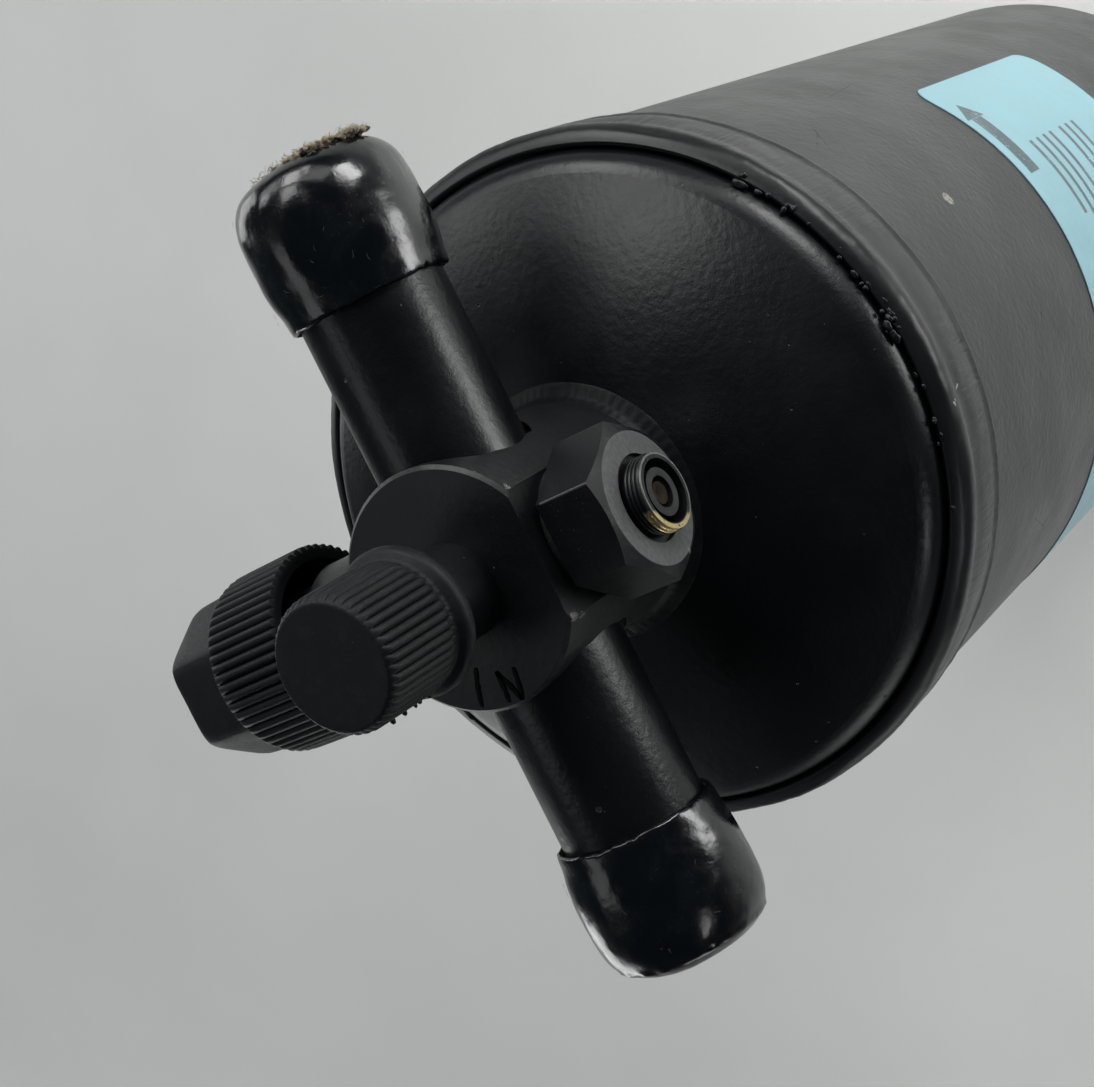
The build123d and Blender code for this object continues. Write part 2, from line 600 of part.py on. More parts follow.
def label():
    """Thin curved sheet on the can with rounded corners."""
    low = EDGE - LABEL_TOP - LABEL_HEIGHT
    high = EDGE - LABEL_TOP
    sweep_angle = LABEL_END - LABEL_START
    middle_r = CAN_R + LABEL_GLUE + LABEL_THICKNESS / 2
    outline = Plane.XZ * Pos(middle_r, (low + high) / 2) * Rectangle(LABEL_THICKNESS, LABEL_HEIGHT)
    sheet = Rot(0, 0, LABEL_START) * revolve(outline, Axis.Z, revolution_arc=sweep_angle)
    inset = math.degrees(LABEL_CORNER_R / CAN_R)
    reach = CAN_R + LABEL_CORNER_R
    for angle, side in ((LABEL_START + inset, -1), (LABEL_END - inset, 1)):
        for height, up in ((low + LABEL_CORNER_R, -1), (high - LABEL_CORNER_R, 1)):
            corner = Pos(reach, side * LABEL_CORNER_R, up * LABEL_CORNER_R) * Box(
                3 * LABEL_CORNER_R, 2 * LABEL_CORNER_R, 2 * LABEL_CORNER_R
            )
            corner -= Pos(reach, 0, 0) * Rot(0, 90, 0) * Cylinder(LABEL_CORNER_R, 4 * LABEL_CORNER_R)
            sheet -= Pos(0, 0, height) * Rot(0, 0, angle) * corner
    return sheet


# ---- write the pieces ---------------------------------------------------

write("can_shell", can_shell())
write("top_dome", top_dome())
write("girth_weld_bead", girth_weld_bead())
write("head_block", head_block())
write("head_weld_ring", head_weld_ring())

for side, place in (("inlet", TO_INLET), ("outlet", TO_OUTLET)):
    write(f"{side}_stub", place * line_stub())
    write(f"{side}_vinyl_cap", place * vinyl_cap())

write("switch_port_body", TO_SWITCH * switch_port_body())
write("switch_port_oring", TO_SWITCH * switch_port_oring())
write("charge_port_body", TO_CHARGE * charge_port_body())
write("service_port_body", TO_SERVICE * service_port_body())

CORES = (
    ("switch", TO_SWITCH, SWITCH_CORE_TOP),
    ("charge", TO_CHARGE, CHARGE_CORE_TOP),
    ("service", TO_SERVICE, SERVICE_CORE_TOP),
)
for port, place, core_top in CORES:
    write(f"{port}_core_body", place * core_body(core_top))
    write(f"{port}_core_pin", place * core_pin(core_top))
    write(f"{port}_core_spring", place * core_spring(core_top))

write("charge_port_cap", TO_CHARGE * charge_port_cap())
write("charge_cap_gasket", TO_CHARGE * cap_gasket(CHARGE_MOUTH_R, CHARGE_NOSE_END))
write("service_port_cap", TO_SERVICE * service_port_cap())
write("service_cap_gasket", TO_SERVICE * cap_gasket(SERVICE_MOUTH_R, SERVICE_NOSE_END))

write("pickup_tube", pickup_tube())
write("bed_spring", bed_spring())
write("upper_screen_plate", upper_screen_plate())
write("lower_screen_plate", lower_screen_plate())
write("upper_filter_pad", ring(FILL_R, PICKUP_CLEAR_R, UPPER_PAD_TOP - PAD_THICKNESS, UPPER_PAD_TOP))
write("desiccant_bed", ring(FILL_R, PICKUP_CLEAR_R, LOWER_PAD_TOP, UPPER_PAD_TOP - PAD_THICKNESS))
write("lower_filter_pad", ring(FILL_R, PICKUP_CLEAR_R, LOWER_PLATE_TOP, LOWER_PAD_TOP))
write("label", label())
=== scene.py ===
import math
import random

import bpy
from mathutils import Matrix, Vector, noise

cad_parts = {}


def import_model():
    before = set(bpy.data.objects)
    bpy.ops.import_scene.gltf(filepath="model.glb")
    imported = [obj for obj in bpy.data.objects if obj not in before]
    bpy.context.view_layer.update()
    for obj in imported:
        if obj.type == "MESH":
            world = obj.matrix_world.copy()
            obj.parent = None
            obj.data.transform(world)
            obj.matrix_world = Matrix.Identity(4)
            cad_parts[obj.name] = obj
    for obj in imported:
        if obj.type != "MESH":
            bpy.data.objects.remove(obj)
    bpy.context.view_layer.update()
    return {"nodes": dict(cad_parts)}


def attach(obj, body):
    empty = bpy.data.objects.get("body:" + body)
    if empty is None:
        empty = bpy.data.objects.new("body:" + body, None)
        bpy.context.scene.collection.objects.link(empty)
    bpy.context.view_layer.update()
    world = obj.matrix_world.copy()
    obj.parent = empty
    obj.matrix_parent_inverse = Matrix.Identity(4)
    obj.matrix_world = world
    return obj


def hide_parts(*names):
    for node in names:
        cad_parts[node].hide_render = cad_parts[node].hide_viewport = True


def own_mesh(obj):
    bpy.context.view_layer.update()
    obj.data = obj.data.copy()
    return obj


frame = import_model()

# The row frame is in metres; the numbers below are in millimetres unless they say otherwise.
MM = 0.001
EDGE = 195.0              # the can's upper edge
CAN_R = 50.8
WELD_REACH = 51.93        # the girth weld's widest radius
FACE = 241.55             # face of the head block
PORT = 229.5              # axis of the line stubs and the switch port
SERVICE = 232.4           # axis of the service port
SWITCH_END = 27.05        # rim of the switch stub, along y
BACKDROP = (0.6, 0.615, 0.61, 1.0)


# ---- node materials -----------------------------------------------------

class Mat:
    """A Principled material driven by procedural nodes, in millimetres of the row frame."""

    def __init__(self, name):
        self.mat = bpy.data.materials.new(name)
        self.mat.use_nodes = True
        self.tree = self.mat.node_tree
        self.tree.nodes.clear()
        self.out = self.add("ShaderNodeOutputMaterial")
        self.bsdf = self.add("ShaderNodeBsdfPrincipled")
        self.link(self.bsdf.outputs[0], self.out.inputs[0])
        coords = self.add("ShaderNodeTexCoord")
        scale = self.add("ShaderNodeVectorMath", operation="SCALE")
        scale.inputs["Scale"].default_value = 1.0 / MM
        self.link(coords.outputs["Object"], scale.inputs[0])
        self.mm = scale.outputs[0]
        self.height = None

    def add(self, kind, **props):
        node = self.tree.nodes.new(kind)
        for key, value in props.items():
            setattr(node, key, value)
        return node

    def link(self, a, b):
        self.tree.links.new(a, b)

    def feed(self, socket, value):
        """Links a socket, or sets a plain number, vector or colour."""
        if isinstance(value, bpy.types.NodeSocket):
            self.link(value, socket)
        elif socket.type == "RGBA":
            socket.default_value = (*value, 1.0)
        else:
            socket.default_value = value

    def math(self, op, a, b=None, clamp=False):
        node = self.add("ShaderNodeMath", operation=op, use_clamp=clamp)
        self.feed(node.inputs[0], a)
        if b is not None:
            self.feed(node.inputs[1], b)
        return node.outputs[0]

    def fold(self, op, values):
        result = values[0]
        for value in values[1:]:
            result = self.math(op, result, value)
        return result

    def times(self, *values):
        """Product: where every mask is on."""
        return self.fold("MULTIPLY", values)

    def most(self, *values):
        """Greatest: where any mask is on."""
        return self.fold("MAXIMUM", values)

    def vec(self, op, a, b=None, scale=None):
        node = self.add("ShaderNodeVectorMath", operation=op)
        self.feed(node.inputs[0], a)
        if b is not None:
            self.feed(node.inputs[1], b)
        if scale is not None:
            self.feed(node.inputs["Scale"], scale)
        return node.outputs["Value" if op in ("LENGTH", "DOT_PRODUCT", "DISTANCE") else "Vector"]

    def axes(self):
        node = self.add("ShaderNodeSeparateXYZ")
        self.link(self.mm, node.inputs[0])
        return node.outputs

    def can_radius(self):
        """Distance from the can's axis."""
        return self.vec("LENGTH", self.vec("MULTIPLY", self.mm, (1.0, 1.0, 0.0)))

    def switch_radius(self):
        """Distance from the switch port's axis."""
        from_axis = self.vec("SUBTRACT", self.mm, (0.0, 0.0, PORT))
        return self.vec("LENGTH", self.vec("MULTIPLY", from_axis, (1.0, 0.0, 1.0)))

    def noise(self, size, detail=2.0, rough=0.5, warp=0.0, vector=None, stretch=None):
        """Noise whose features are about size millimetres across, from 0 to 1."""
        vector = vector or self.mm
        if stretch:
            vector = self.vec("MULTIPLY", vector, stretch)
        node = self.add("ShaderNodeTexNoise")
        self.link(vector, node.inputs["Vector"])
        node.inputs["Scale"].default_value = 1.0 / size
        node.inputs["Detail"].default_value = detail
        node.inputs["Roughness"].default_value = rough
        node.inputs["Distortion"].default_value = warp
        return node.outputs["Fac"]

    def cells(self, size):
        """Distance to the nearest of points about size millimetres apart, as a share of size."""
        node = self.add("ShaderNodeTexVoronoi")
        self.link(self.mm, node.inputs["Vector"])
        node.inputs["Scale"].default_value = 1.0 / size
        return node.outputs["Distance"]

    def span(self, value, low, high, to_low=0.0, to_high=1.0):
        """Maps value from low..high to to_low..to_high, smoothly and held at the ends."""
        node = self.add("ShaderNodeMapRange", interpolation_type="SMOOTHSTEP")
        self.feed(node.inputs["Value"], value)
        for key, number in zip(("From Min", "From Max", "To Min", "To Max"), (low, high, to_low, to_high)):
            node.inputs[key].default_value = number
        return node.outputs[0]

    def window(self, value, low, high, soft):
        """1 between low and high, with soft edges inside them."""
        return self.times(self.span(value, low, low + soft), self.span(value, high, high - soft))

    def specks(self, spacing, edge, patch, where, detail=2):
        """Dots about spacing apart, kept in patches; edge and where are the two ends of each mask."""
        return self.times(self.span(self.cells(spacing), *edge), self.span(self.noise(patch, detail), *where))

    def mix(self, fac, a, b):
        """Mix of two colours."""
        node = self.add("ShaderNodeMix", data_type="RGBA")
        for socket, value in ((node.inputs[0], fac), (node.inputs[6], a), (node.inputs[7], b)):
            self.feed(socket, value)
        return node.outputs[2]

    def fmix(self, fac, a, b):
        """Mix of two numbers."""
        node = self.add("ShaderNodeMix", data_type="FLOAT")
        for socket, value in ((node.inputs[0], fac), (node.inputs[2], a), (node.inputs[3], b)):
            self.feed(socket, value)
        return node.outputs[0]

    def blob(self, point, radius, soft=0.4, ragged=0.0, size=1.0):
        """1 inside a ball of that radius about a point, with a ragged edge."""
        distance = self.vec("DISTANCE", self.mm, point)
        if ragged:
            distance = self.math("ADD", distance, self.times(self.noise(size, 3), ragged))
            radius += ragged / 2
        return self.span(distance, radius + soft / 2, radius - soft / 2)

    def stroke(self, a, b, width, soft=0.08):
        """1 along a straight line from a to b."""
        a, b = Vector(a), Vector(b)
        along = b - a
        from_a = self.vec("SUBTRACT", self.mm, tuple(a))
        share = self.vec("DOT_PRODUCT", from_a, tuple(along))
        share = self.math("DIVIDE", share, along.length_squared, clamp=True)
        nearest = self.vec("SCALE", tuple(along), scale=share)
        return self.span(self.vec("DISTANCE", from_a, nearest), width / 2 + soft, max(0.0, width / 2 - soft))

    def relief(self, height, distance):
        """Adds a bump of that height map; distance is its depth in millimetres."""
        node = self.add("ShaderNodeBump")
        node.inputs["Distance"].default_value = distance * MM
        self.feed(node.inputs["Height"], height)
        if self.height:
            self.link(self.height, node.inputs["Normal"])
        self.height = node.outputs[0]

    def dent(self, mask, depth):
        """Sinks the surface where the mask is on."""
        self.relief(self.math("SUBTRACT", 1.0, mask), depth)

    def done(self, colour, rough, metallic=0.0, specular=0.5):
        for key, value in (
            ("Base Color", colour), ("Roughness", rough), ("Metallic", metallic),
            ("Specular IOR Level", specular),
        ):
            self.feed(self.bsdf.inputs[key], value)
        if self.height:
            self.link(self.height, self.bsdf.inputs["Normal"])
        return self.mat


def on_can(t, z, radius=CAN_R):
    """Point on the can's side, at an angle in radians and a height from its upper edge."""
    return radius * math.cos(t), radius * math.sin(t), EDGE + z


def satin(m, colour, rough, peel, dust):
    """Satin black paint: orange peel, cloudy gloss, fine dust specks. Returns (colour, roughness)."""
    m.relief(m.noise(1.1, 2, 0.45), peel)
    m.relief(m.noise(0.32, 1), peel * 0.22)
    cloud = m.noise(16.0, 3, 0.6)
    coarse = m.specks(2.6, (0.055, 0.03), 7.0, (0.46, 0.6))
    fine = m.specks(0.9, (0.07, 0.03), 4.0, (0.52, 0.66), 3)
    specks = m.times(m.most(coarse, fine), dust)
    lighter = tuple(c * 1.4 + 0.0005 for c in colour)
    base = m.mix(m.span(cloud, 0.35, 0.7), colour, lighter)
    base = m.mix(specks, base, (0.14, 0.14, 0.13))
    gloss = m.math("ADD", m.span(cloud, 0.3, 0.7, rough - 0.03, rough + 0.05), m.times(specks, 0.4))
    return base, gloss


def can_paint():
    """The can's side: a hammered satin coat with the picture's scuffs and a chip."""
    m = Mat("can_paint")
    base, gloss = satin(m, (0.0062, 0.0070, 0.0074), 0.36, 0.085, 0.35)
    m.relief(m.noise(2.6, 3, 0.55), 0.07)
    # Angle round the can in degrees, height from its edge, radius. The first spot is the pale chip; the others
    # are small dents painted darker, painted shade in the dents.
    spots = [
        m.blob(on_can(math.radians(angle), z), radius, 0.3, 0.9, 0.8)
        for angle, z, radius in (
            (108.6, -36.9, 1.15), (56.3, -7.7, 0.5), (121.0, -52.0, 0.35), (84.0, -44.0, 0.3),
        )
    ]
    # Angle and height of each end, width.
    lines = [
        m.stroke(on_can(math.radians(a0), z0), on_can(math.radians(a1), z1), width)
        for a0, z0, a1, z1, width in (
            (132.9, -29.0, 125.9, -22.5, 0.25), (130.5, -27.0, 127.5, -21.0, 0.12),
            (47.5, -45.0, 44.5, -38.5, 0.18), (45.5, -46.0, 43.5, -40.5, 0.14),
            (50.5, -36.0, 46.0, -44.0, 0.12), (64.0, -30.0, 62.5, -22.0, 0.1),
            (140.0, -60.0, 138.5, -48.0, 0.12), (210.0, -80.0, 213.0, -66.0, 0.15),
            (300.0, -120.0, 304.0, -98.0, 0.14),
        )
    ]
    pale = m.times(spots[0], m.span(m.noise(0.7, 3), 0.3, 0.55))
    scratch = m.times(m.most(*lines), m.span(m.noise(1.4, 3), 0.35, 0.6))
    # The smaller spots are dents painted darker: painted shade in the dents.
    base = m.mix(m.most(*spots[1:]), base, (0.003, 0.003, 0.004))
    base = m.mix(pale, base, (0.32, 0.31, 0.27))
    base = m.mix(m.times(scratch, 0.6), base, (0.07, 0.07, 0.068))
    m.dent(m.most(scratch, *spots), 0.12)
    return m.done(base, m.math("ADD", gloss, m.times(m.most(scratch, pale), 0.25)))


def dome_paint():
    """The end above the can: darker satin black with a few pits."""
    m = Mat("dome_paint")
    base, gloss = satin(m, (0.0016, 0.0021, 0.0029), 0.34, 0.05, 0.55)
    m.dent(m.specks(5.2, (0.05, 0.02), 9.0, (0.42, 0.55)), 0.16)
    return m.done(base, gloss)


def head_paint():
    """Head block: satin black, with pale bare-metal patches at the corners of the switch port's flat, which
    are painted highlights on its corner chamfers, streaked like milling marks.
    """
    m = Mat("head_paint")
    base, gloss = satin(m, (0.0026, 0.0031, 0.0038), 0.43, 0.05, 0.8)
    z = m.axes()[2]
    marks = m.noise(0.35, 2, 0.6, stretch=(1.0, 1.0, 0.12))
    # Pale metallic patches at the flat's corners: painted highlights where the chamfer corners catch the
    # light.
    corner_glint = m.most(
        m.blob((-9.3, 13.9, EDGE + 45.4), 0.5, 0.2, 1.0, 0.5),
        m.blob((8.9, 14.2, EDGE + 45.2), 0.8, 0.3, 1.2, 0.5),
        m.blob((9.6, 13.8, EDGE + 43.2), 0.8, 0.3, 1.4, 0.5),
    )
    corner_glint = m.times(corner_glint, m.span(marks, 0.42, 0.6))
    rim = m.times(m.span(m.can_radius(), 16.0, 16.3), m.span(z, EDGE + 45.8, EDGE + 46.1))
    rub = m.times(rim, m.span(m.noise(2.2, 3), 0.42, 0.7, 0.05, 0.7))
    base = m.mix(rub, base, (0.035, 0.036, 0.036))
    base = m.mix(corner_glint, base, (0.3, 0.29, 0.27))
    m.relief(m.times(corner_glint, marks), 0.08)
    return m.done(base, m.fmix(corner_glint, gloss, 0.32), m.times(corner_glint, 0.85))


def ring_paint():
    """Head weld: the same black, drowned thick in paint, so it shines less."""
    m = Mat("ring_paint")
    base, gloss = satin(m, (0.0018, 0.0022, 0.0029), 0.46, 0.05, 0.5)
    return m.done(base, gloss, specular=0.2)


def stub_paint():
    """Line stub: painted barrel, bare phosphated steel under the soft cap, a few chips."""
    m = Mat("stub_paint")
    base, gloss = satin(m, (0.0020, 0.0026, 0.0034), 0.3, 0.05, 0.7)
    out = m.math("ABSOLUTE", m.axes()[0])
    bare = m.span(m.math("ADD", out, m.noise(1.5, 3)), 38.7, 39.2)
    pale = m.mix(m.span(m.noise(2.0, 4, 0.7), 0.3, 0.7), (0.1, 0.095, 0.085), (0.2, 0.19, 0.17))
    threads = m.add("ShaderNodeTexWave", wave_type="BANDS", bands_direction="X", wave_profile="SIN")
    m.link(m.mm, threads.inputs["Vector"])
    threads.inputs["Scale"].default_value = 0.197     # a pitch of about 1.6 mm
    m.relief(m.times(threads.outputs["Fac"], m.window(out, 44.0, 53.0, 0.4)), 0.75)
    chip = m.most(
        m.blob((26.6, 9.3, PORT + 3.8), 0.35, 0.1, 0.5, 0.5),
        m.blob((33.0, 3.0, PORT + 9.6), 0.45, 0.1, 0.6, 0.5),
        m.blob((-30.0, -2.0, PORT + 9.9), 0.3, 0.1, 0.5, 0.5),
    )
    m.dent(chip, 0.1)
    base = m.mix(chip, base, (0.03, 0.03, 0.03))
    base = m.mix(bare, base, pale)
    return m.done(base, m.fmix(bare, gloss, 0.42), m.times(bare, 0.7))


def cap_plastic():
    """Moulded black caps: eroded matte texture, pale rubbed patches, dust in the grain."""
    m = Mat("cap_plastic")
    m.relief(m.noise(0.28, 2, 0.6), 0.03)
    m.relief(m.noise(5.0, 2), 0.12)
    grain = m.noise(0.5, 3, 0.7)
    base = m.mix(m.span(grain, 0.35, 0.75), (0.004, 0.0048, 0.0056), (0.0075, 0.0088, 0.0098))
    rub = m.times(m.span(m.noise(2.5, 4, 0.7), 0.5, 0.75), 0.35)
    base = m.mix(rub, base, (0.024, 0.026, 0.027))
    dust = m.specks(2.2, (0.06, 0.03), 5.0, (0.5, 0.6))
    base = m.mix(m.times(dust, 0.5), base, (0.2, 0.2, 0.19))
    return m.done(base, m.span(grain, 0.3, 0.7, 0.5, 0.62), specular=0.34)


def vinyl():
    """Dip-moulded vinyl: glossy, softly lumped, dull in patches and dusty."""
    m = Mat("vinyl")
    m.relief(m.noise(5.5, 2, 0.45), 0.16)
    m.relief(m.noise(1.2, 3, 0.55), 0.03)
    m.relief(m.noise(0.45, 2), 0.012)
    film = m.noise(6.0, 4, 0.65, 0.6)
    dust = m.times(m.span(m.noise(0.5, 4, 0.8), 0.56, 0.75), m.span(film, 0.4, 0.7))
    base = m.mix(m.span(film, 0.4, 0.7), (0.0016, 0.0022, 0.0032), (0.0034, 0.0042, 0.0052))
    base = m.mix(m.times(dust, 0.3), base, (0.05, 0.05, 0.047))
    gloss = m.math("ADD", m.span(film, 0.35, 0.75, 0.15, 0.27), m.times(dust, 0.3))
    return m.done(base, gloss, specular=0.8)


def worn_lip_and_glint(m):
    """Masks for the switch stub's rim: a thin bright edge all round, and on the inlet's side a crescent of
    bare brass colour, a painted glint where the thread catches the light.
    """
    x, y, z = m.axes()
    radius = m.switch_radius()
    lip = m.times(m.span(y, 26.85, 27.0), m.span(radius, 4.72, 4.82))
    side = m.math("ADD", m.times(x, 0.94), m.times(m.math("SUBTRACT", z, PORT), 0.34))
    # Brass on one side only: a painted glint.
    brass_glint = m.times(
        m.span(side, 2.6, 3.3), m.span(y, 25.7, 26.0), m.span(m.noise(0.5, 3), 0.3, 0.42),
        m.span(radius, 4.3, 4.5))
    return lip, brass_glint


def switch_thread_metal():
    """Fine thread of the switch stub: black, with brass near the rim on one side only, a painted glint."""
    m = Mat("switch_thread_metal")
    base, gloss = satin(m, (0.0022, 0.0027, 0.0034), 0.4, 0.02, 0.9)
    brass_glint = worn_lip_and_glint(m)[1]
    # Brass colour on one side near the rim: a painted glint.
    base = m.mix(brass_glint, base, (0.75, 0.6, 0.32))
    return m.done(base, m.fmix(brass_glint, gloss, 0.25), brass_glint)


def hex_metal():
    """Switch port: black sides, grey worn end ring, bare inner edge; a pale stroke along one corner of the
    hexagon is a painted highlight, and brass on one side of the stub is a painted glint.
    """
    m = Mat("hex_metal")
    base, gloss = satin(m, (0.0022, 0.0027, 0.0034), 0.4, 0.04, 0.9)
    y = m.axes()[1]
    radius = m.switch_radius()
    end = m.times(
        m.span(y, 24.2, 24.36), m.span(radius, 8.98, 8.82), m.span(radius, 5.75, 5.95),
        m.span(m.noise(1.4, 4, 0.7), 0.2, 0.34))
    grey = m.mix(m.span(m.noise(0.7, 3), 0.3, 0.7), (0.105, 0.112, 0.112), (0.15, 0.158, 0.155))
    base = m.mix(end, base, grey)
    lip, brass_glint = worn_lip_and_glint(m)
    base = m.mix(lip, base, (0.3, 0.3, 0.3))
    # Brass colour on one side of the stub: a painted glint.
    base = m.mix(brass_glint, base, (0.75, 0.6, 0.32))
    # Pale stroke along the one hex corner that faces the light: a painted highlight.
    edge = m.stroke((-5.5, 16.0, PORT + 9.53), (-5.5, 24.2, PORT + 9.53), 0.3, 0.12)
    edge = m.times(edge, m.span(m.noise(1.6, 3), 0.3, 0.45))
    base = m.mix(edge, base, (0.13, 0.14, 0.14))
    peck = m.times(m.specks(0.8, (0.16, 0.08), 3.0, (0.52, 0.6)), m.span(radius, 9.0, 9.3))
    base = m.mix(m.times(peck, 0.5), base, (0.07, 0.075, 0.075))
    nick = m.blob((8.3, 24.0, PORT - 3.2), 0.5, 0.2, 0.8, 0.4)
    base = m.mix(nick, base, (0.3, 0.26, 0.16))
    stub = m.most(lip, brass_glint)
    return m.done(base, m.fmix(m.most(end, stub), gloss, 0.38), m.most(m.times(end, 0.35), stub))


def plain_metal(name, dark, light, rough, size=1.0):
    m = Mat(name)
    m.relief(m.noise(size * 0.5, 3, 0.6), 0.015)
    stain = m.noise(size * 2, 4, 0.7)
    base = m.mix(m.span(stain, 0.3, 0.7), dark, light)
    return m.done(base, m.span(stain, 0.3, 0.7, rough, rough + 0.12), 0.9)


def port_metal():
    """Coupler ports under the screw caps: turned steel with fine rings, painted near the head."""
    m = Mat("port_metal")
    base, gloss = satin(m, (0.0024, 0.0029, 0.0036), 0.4, 0.03, 0.6)
    y, z = m.axes()[1:]
    bare = m.most(m.span(z, EDGE + 60.0, EDGE + 60.4), m.span(m.times(y, -1.0), 33.0, 33.4))
    turned = m.noise(0.6, 2, 0.5, stretch=(0.02, 1.0, 1.0))
    steel = m.mix(m.span(turned, 0.3, 0.7), (0.2, 0.19, 0.17), (0.34, 0.33, 0.3))
    return m.done(m.mix(bare, base, steel), m.fmix(bare, gloss, 0.3), m.times(bare, 0.9))


def weld_paint():
    """Girth weld: painted over ripples across the bead, rubbed paler on its ridges."""
    m = Mat("weld_paint")
    base, gloss = satin(m, (0.0034, 0.0039, 0.0044), 0.37, 0.03, 0.6)
    x, y, z = m.axes()
    along = m.add("ShaderNodeCombineXYZ")
    m.feed(along.inputs[0], m.times(m.math("ARCTAN2", y, x), CAN_R))
    m.feed(along.inputs[1], m.times(z, 0.12))
    ripple = m.noise(0.75, 2, 0.55, 0.3, vector=along.outputs[0])
    patchy = m.span(m.noise(14.0, 2), 0.38, 0.6, 0.15, 1.0)
    m.relief(m.times(ripple, m.window(z, EDGE - 12.0, EDGE - 0.6, 1.2), patchy), 0.3)
    ridge = m.times(m.span(m.can_radius(), CAN_R + 0.85, CAN_R + 1.1), m.span(m.noise(3.0, 3), 0.4, 0.65))
    base = m.mix(m.times(ridge, 0.6), base, (0.045, 0.046, 0.045))
    chip = m.blob(on_can(1.42, -0.4), 1.0, 0.2, 0.7, 0.5)
    tail = m.stroke((6.9, 50.9, EDGE - 1.2), (6.0, 51.2, EDGE - 3.4), 0.25, 0.1)
    bright = m.most(chip, tail)
    base = m.mix(bright, base, (0.75, 0.74, 0.7))
    # A small pit painted near black: painted shade inside the pit.
    shaded_pit = m.blob(on_can(0.983, -7.7, 51.6), 0.55, 0.15)
    base = m.mix(shaded_pit, base, (0.001, 0.001, 0.001))
    m.dent(shaded_pit, 0.2)
    return m.done(base, m.fmix(bright, gloss, 0.3), m.times(bright, 0.7))


def label_film():
    """Pale blue film with generic print: a plain arrow and ruled lines, no words."""
    m = Mat("label_film")
    x, y, z = m.axes()
    arc = m.times(m.math("ARCTAN2", y, x), CAN_R)
    fade = m.noise(9.0, 3, 0.6)
    base = m.mix(m.span(fade, 0.3, 0.7), (0.21, 0.41, 0.47), (0.25, 0.46, 0.52))
    middle = math.radians(131.5) * CAN_R - 12.0     # along the can, where the arrow's head begins
    start = middle - 6.0                            # where every ruled line begins
    print_parts = []
    # Distance below the first line, length.
    for offset, length in (
        (0, 15.0), (3.6, 22.0), (7.2, 18.0), (10.8, 21.0), (16.5, 23.0), (20.1, 16.0), (23.7, 20.0),
    ):
        height = EDGE - 82.0 - offset
        row = m.window(z, height - 0.75, height + 0.75, 0.15)
        print_parts.append(m.times(row, m.window(arc, start - length - 0.1, start + 0.1, 0.2)))
    off = m.math("ABSOLUTE", m.math("SUBTRACT", z, EDGE - 73.4))
    shaft = m.times(m.span(off, 2.3, 2.15), m.window(arc, middle - 11.1, middle + 2.0, 0.2))
    reach = m.math("SUBTRACT", m.math("SUBTRACT", middle + 6.0, arc), off)
    head = m.times(
        m.span(reach, 0.0, 0.2), m.span(arc, middle + 1.9, middle + 2.0),
        m.span(arc, middle + 6.2, middle + 6.0))
    dark_mark = m.times(m.most(*print_parts, shaft, head), m.span(m.noise(0.9, 4, 0.75), 0.3, 0.42))
    base = m.mix(m.times(dark_mark, 0.88), base, (0.035, 0.045, 0.05))
    stain = m.span(m.noise(1.2, 4, 0.8), 0.68, 0.78)
    base = m.mix(m.times(stain, 0.35), base, (0.25, 0.3, 0.28))
    m.relief(m.noise(3.0, 3), 0.05)
    return m.done(base, m.span(fade, 0.3, 0.7, 0.3, 0.42))


def soft_stuff(name, dark, light, size, depth, rough=0.9):
    """Felt, desiccant and rubber inside the part."""
    m = Mat(name)
    m.relief(m.cells(size), depth)
    m.relief(m.noise(size * 2, 3), depth)
    base = m.mix(m.span(m.noise(size * 1.5, 4, 0.7), 0.3, 0.7), dark, light)
    return m.done(base, m.span(m.noise(size * 3, 2), 0.3, 0.7, rough - 0.1, rough))


# Near-black, dull strips for the pressed letters IN: painted shade in place of the shade in their grooves.
def groove_shade_black():
    m = Mat("groove_shade_black")
    m.relief(m.noise(0.3, 2), 0.03)
    base = m.mix(m.span(m.noise(0.6, 3), 0.3, 0.7), (0.0006, 0.0006, 0.0008), (0.002, 0.002, 0.0022))
    return m.done(base, m.span(m.noise(0.8, 2), 0.3, 0.7, 0.4, 0.55), specular=0.12)


def fuzz_material():
    """Dried fluff in tan, with dark patches."""
    m = Mat("fuzz")
    base = m.mix(m.span(m.noise(0.8, 4, 0.8), 0.3, 0.7), (0.24, 0.19, 0.12), (0.52, 0.45, 0.33))
    base = m.mix(m.span(m.noise(2.0, 3), 0.55, 0.7), base, (0.06, 0.05, 0.04))
    m.relief(m.noise(0.25, 4, 0.8), 0.15)
    return m.done(base, m.span(m.noise(1.0, 2), 0.3, 0.7, 0.8, 0.95))


def lint_material():
    m = Mat("lint")
    base = m.mix(m.span(m.noise(3.0, 2), 0.3, 0.7), (0.05, 0.05, 0.048), (0.17, 0.17, 0.16))
    return m.done(base, m.span(m.noise(1.0, 2), 0.3, 0.7, 0.7, 0.9))


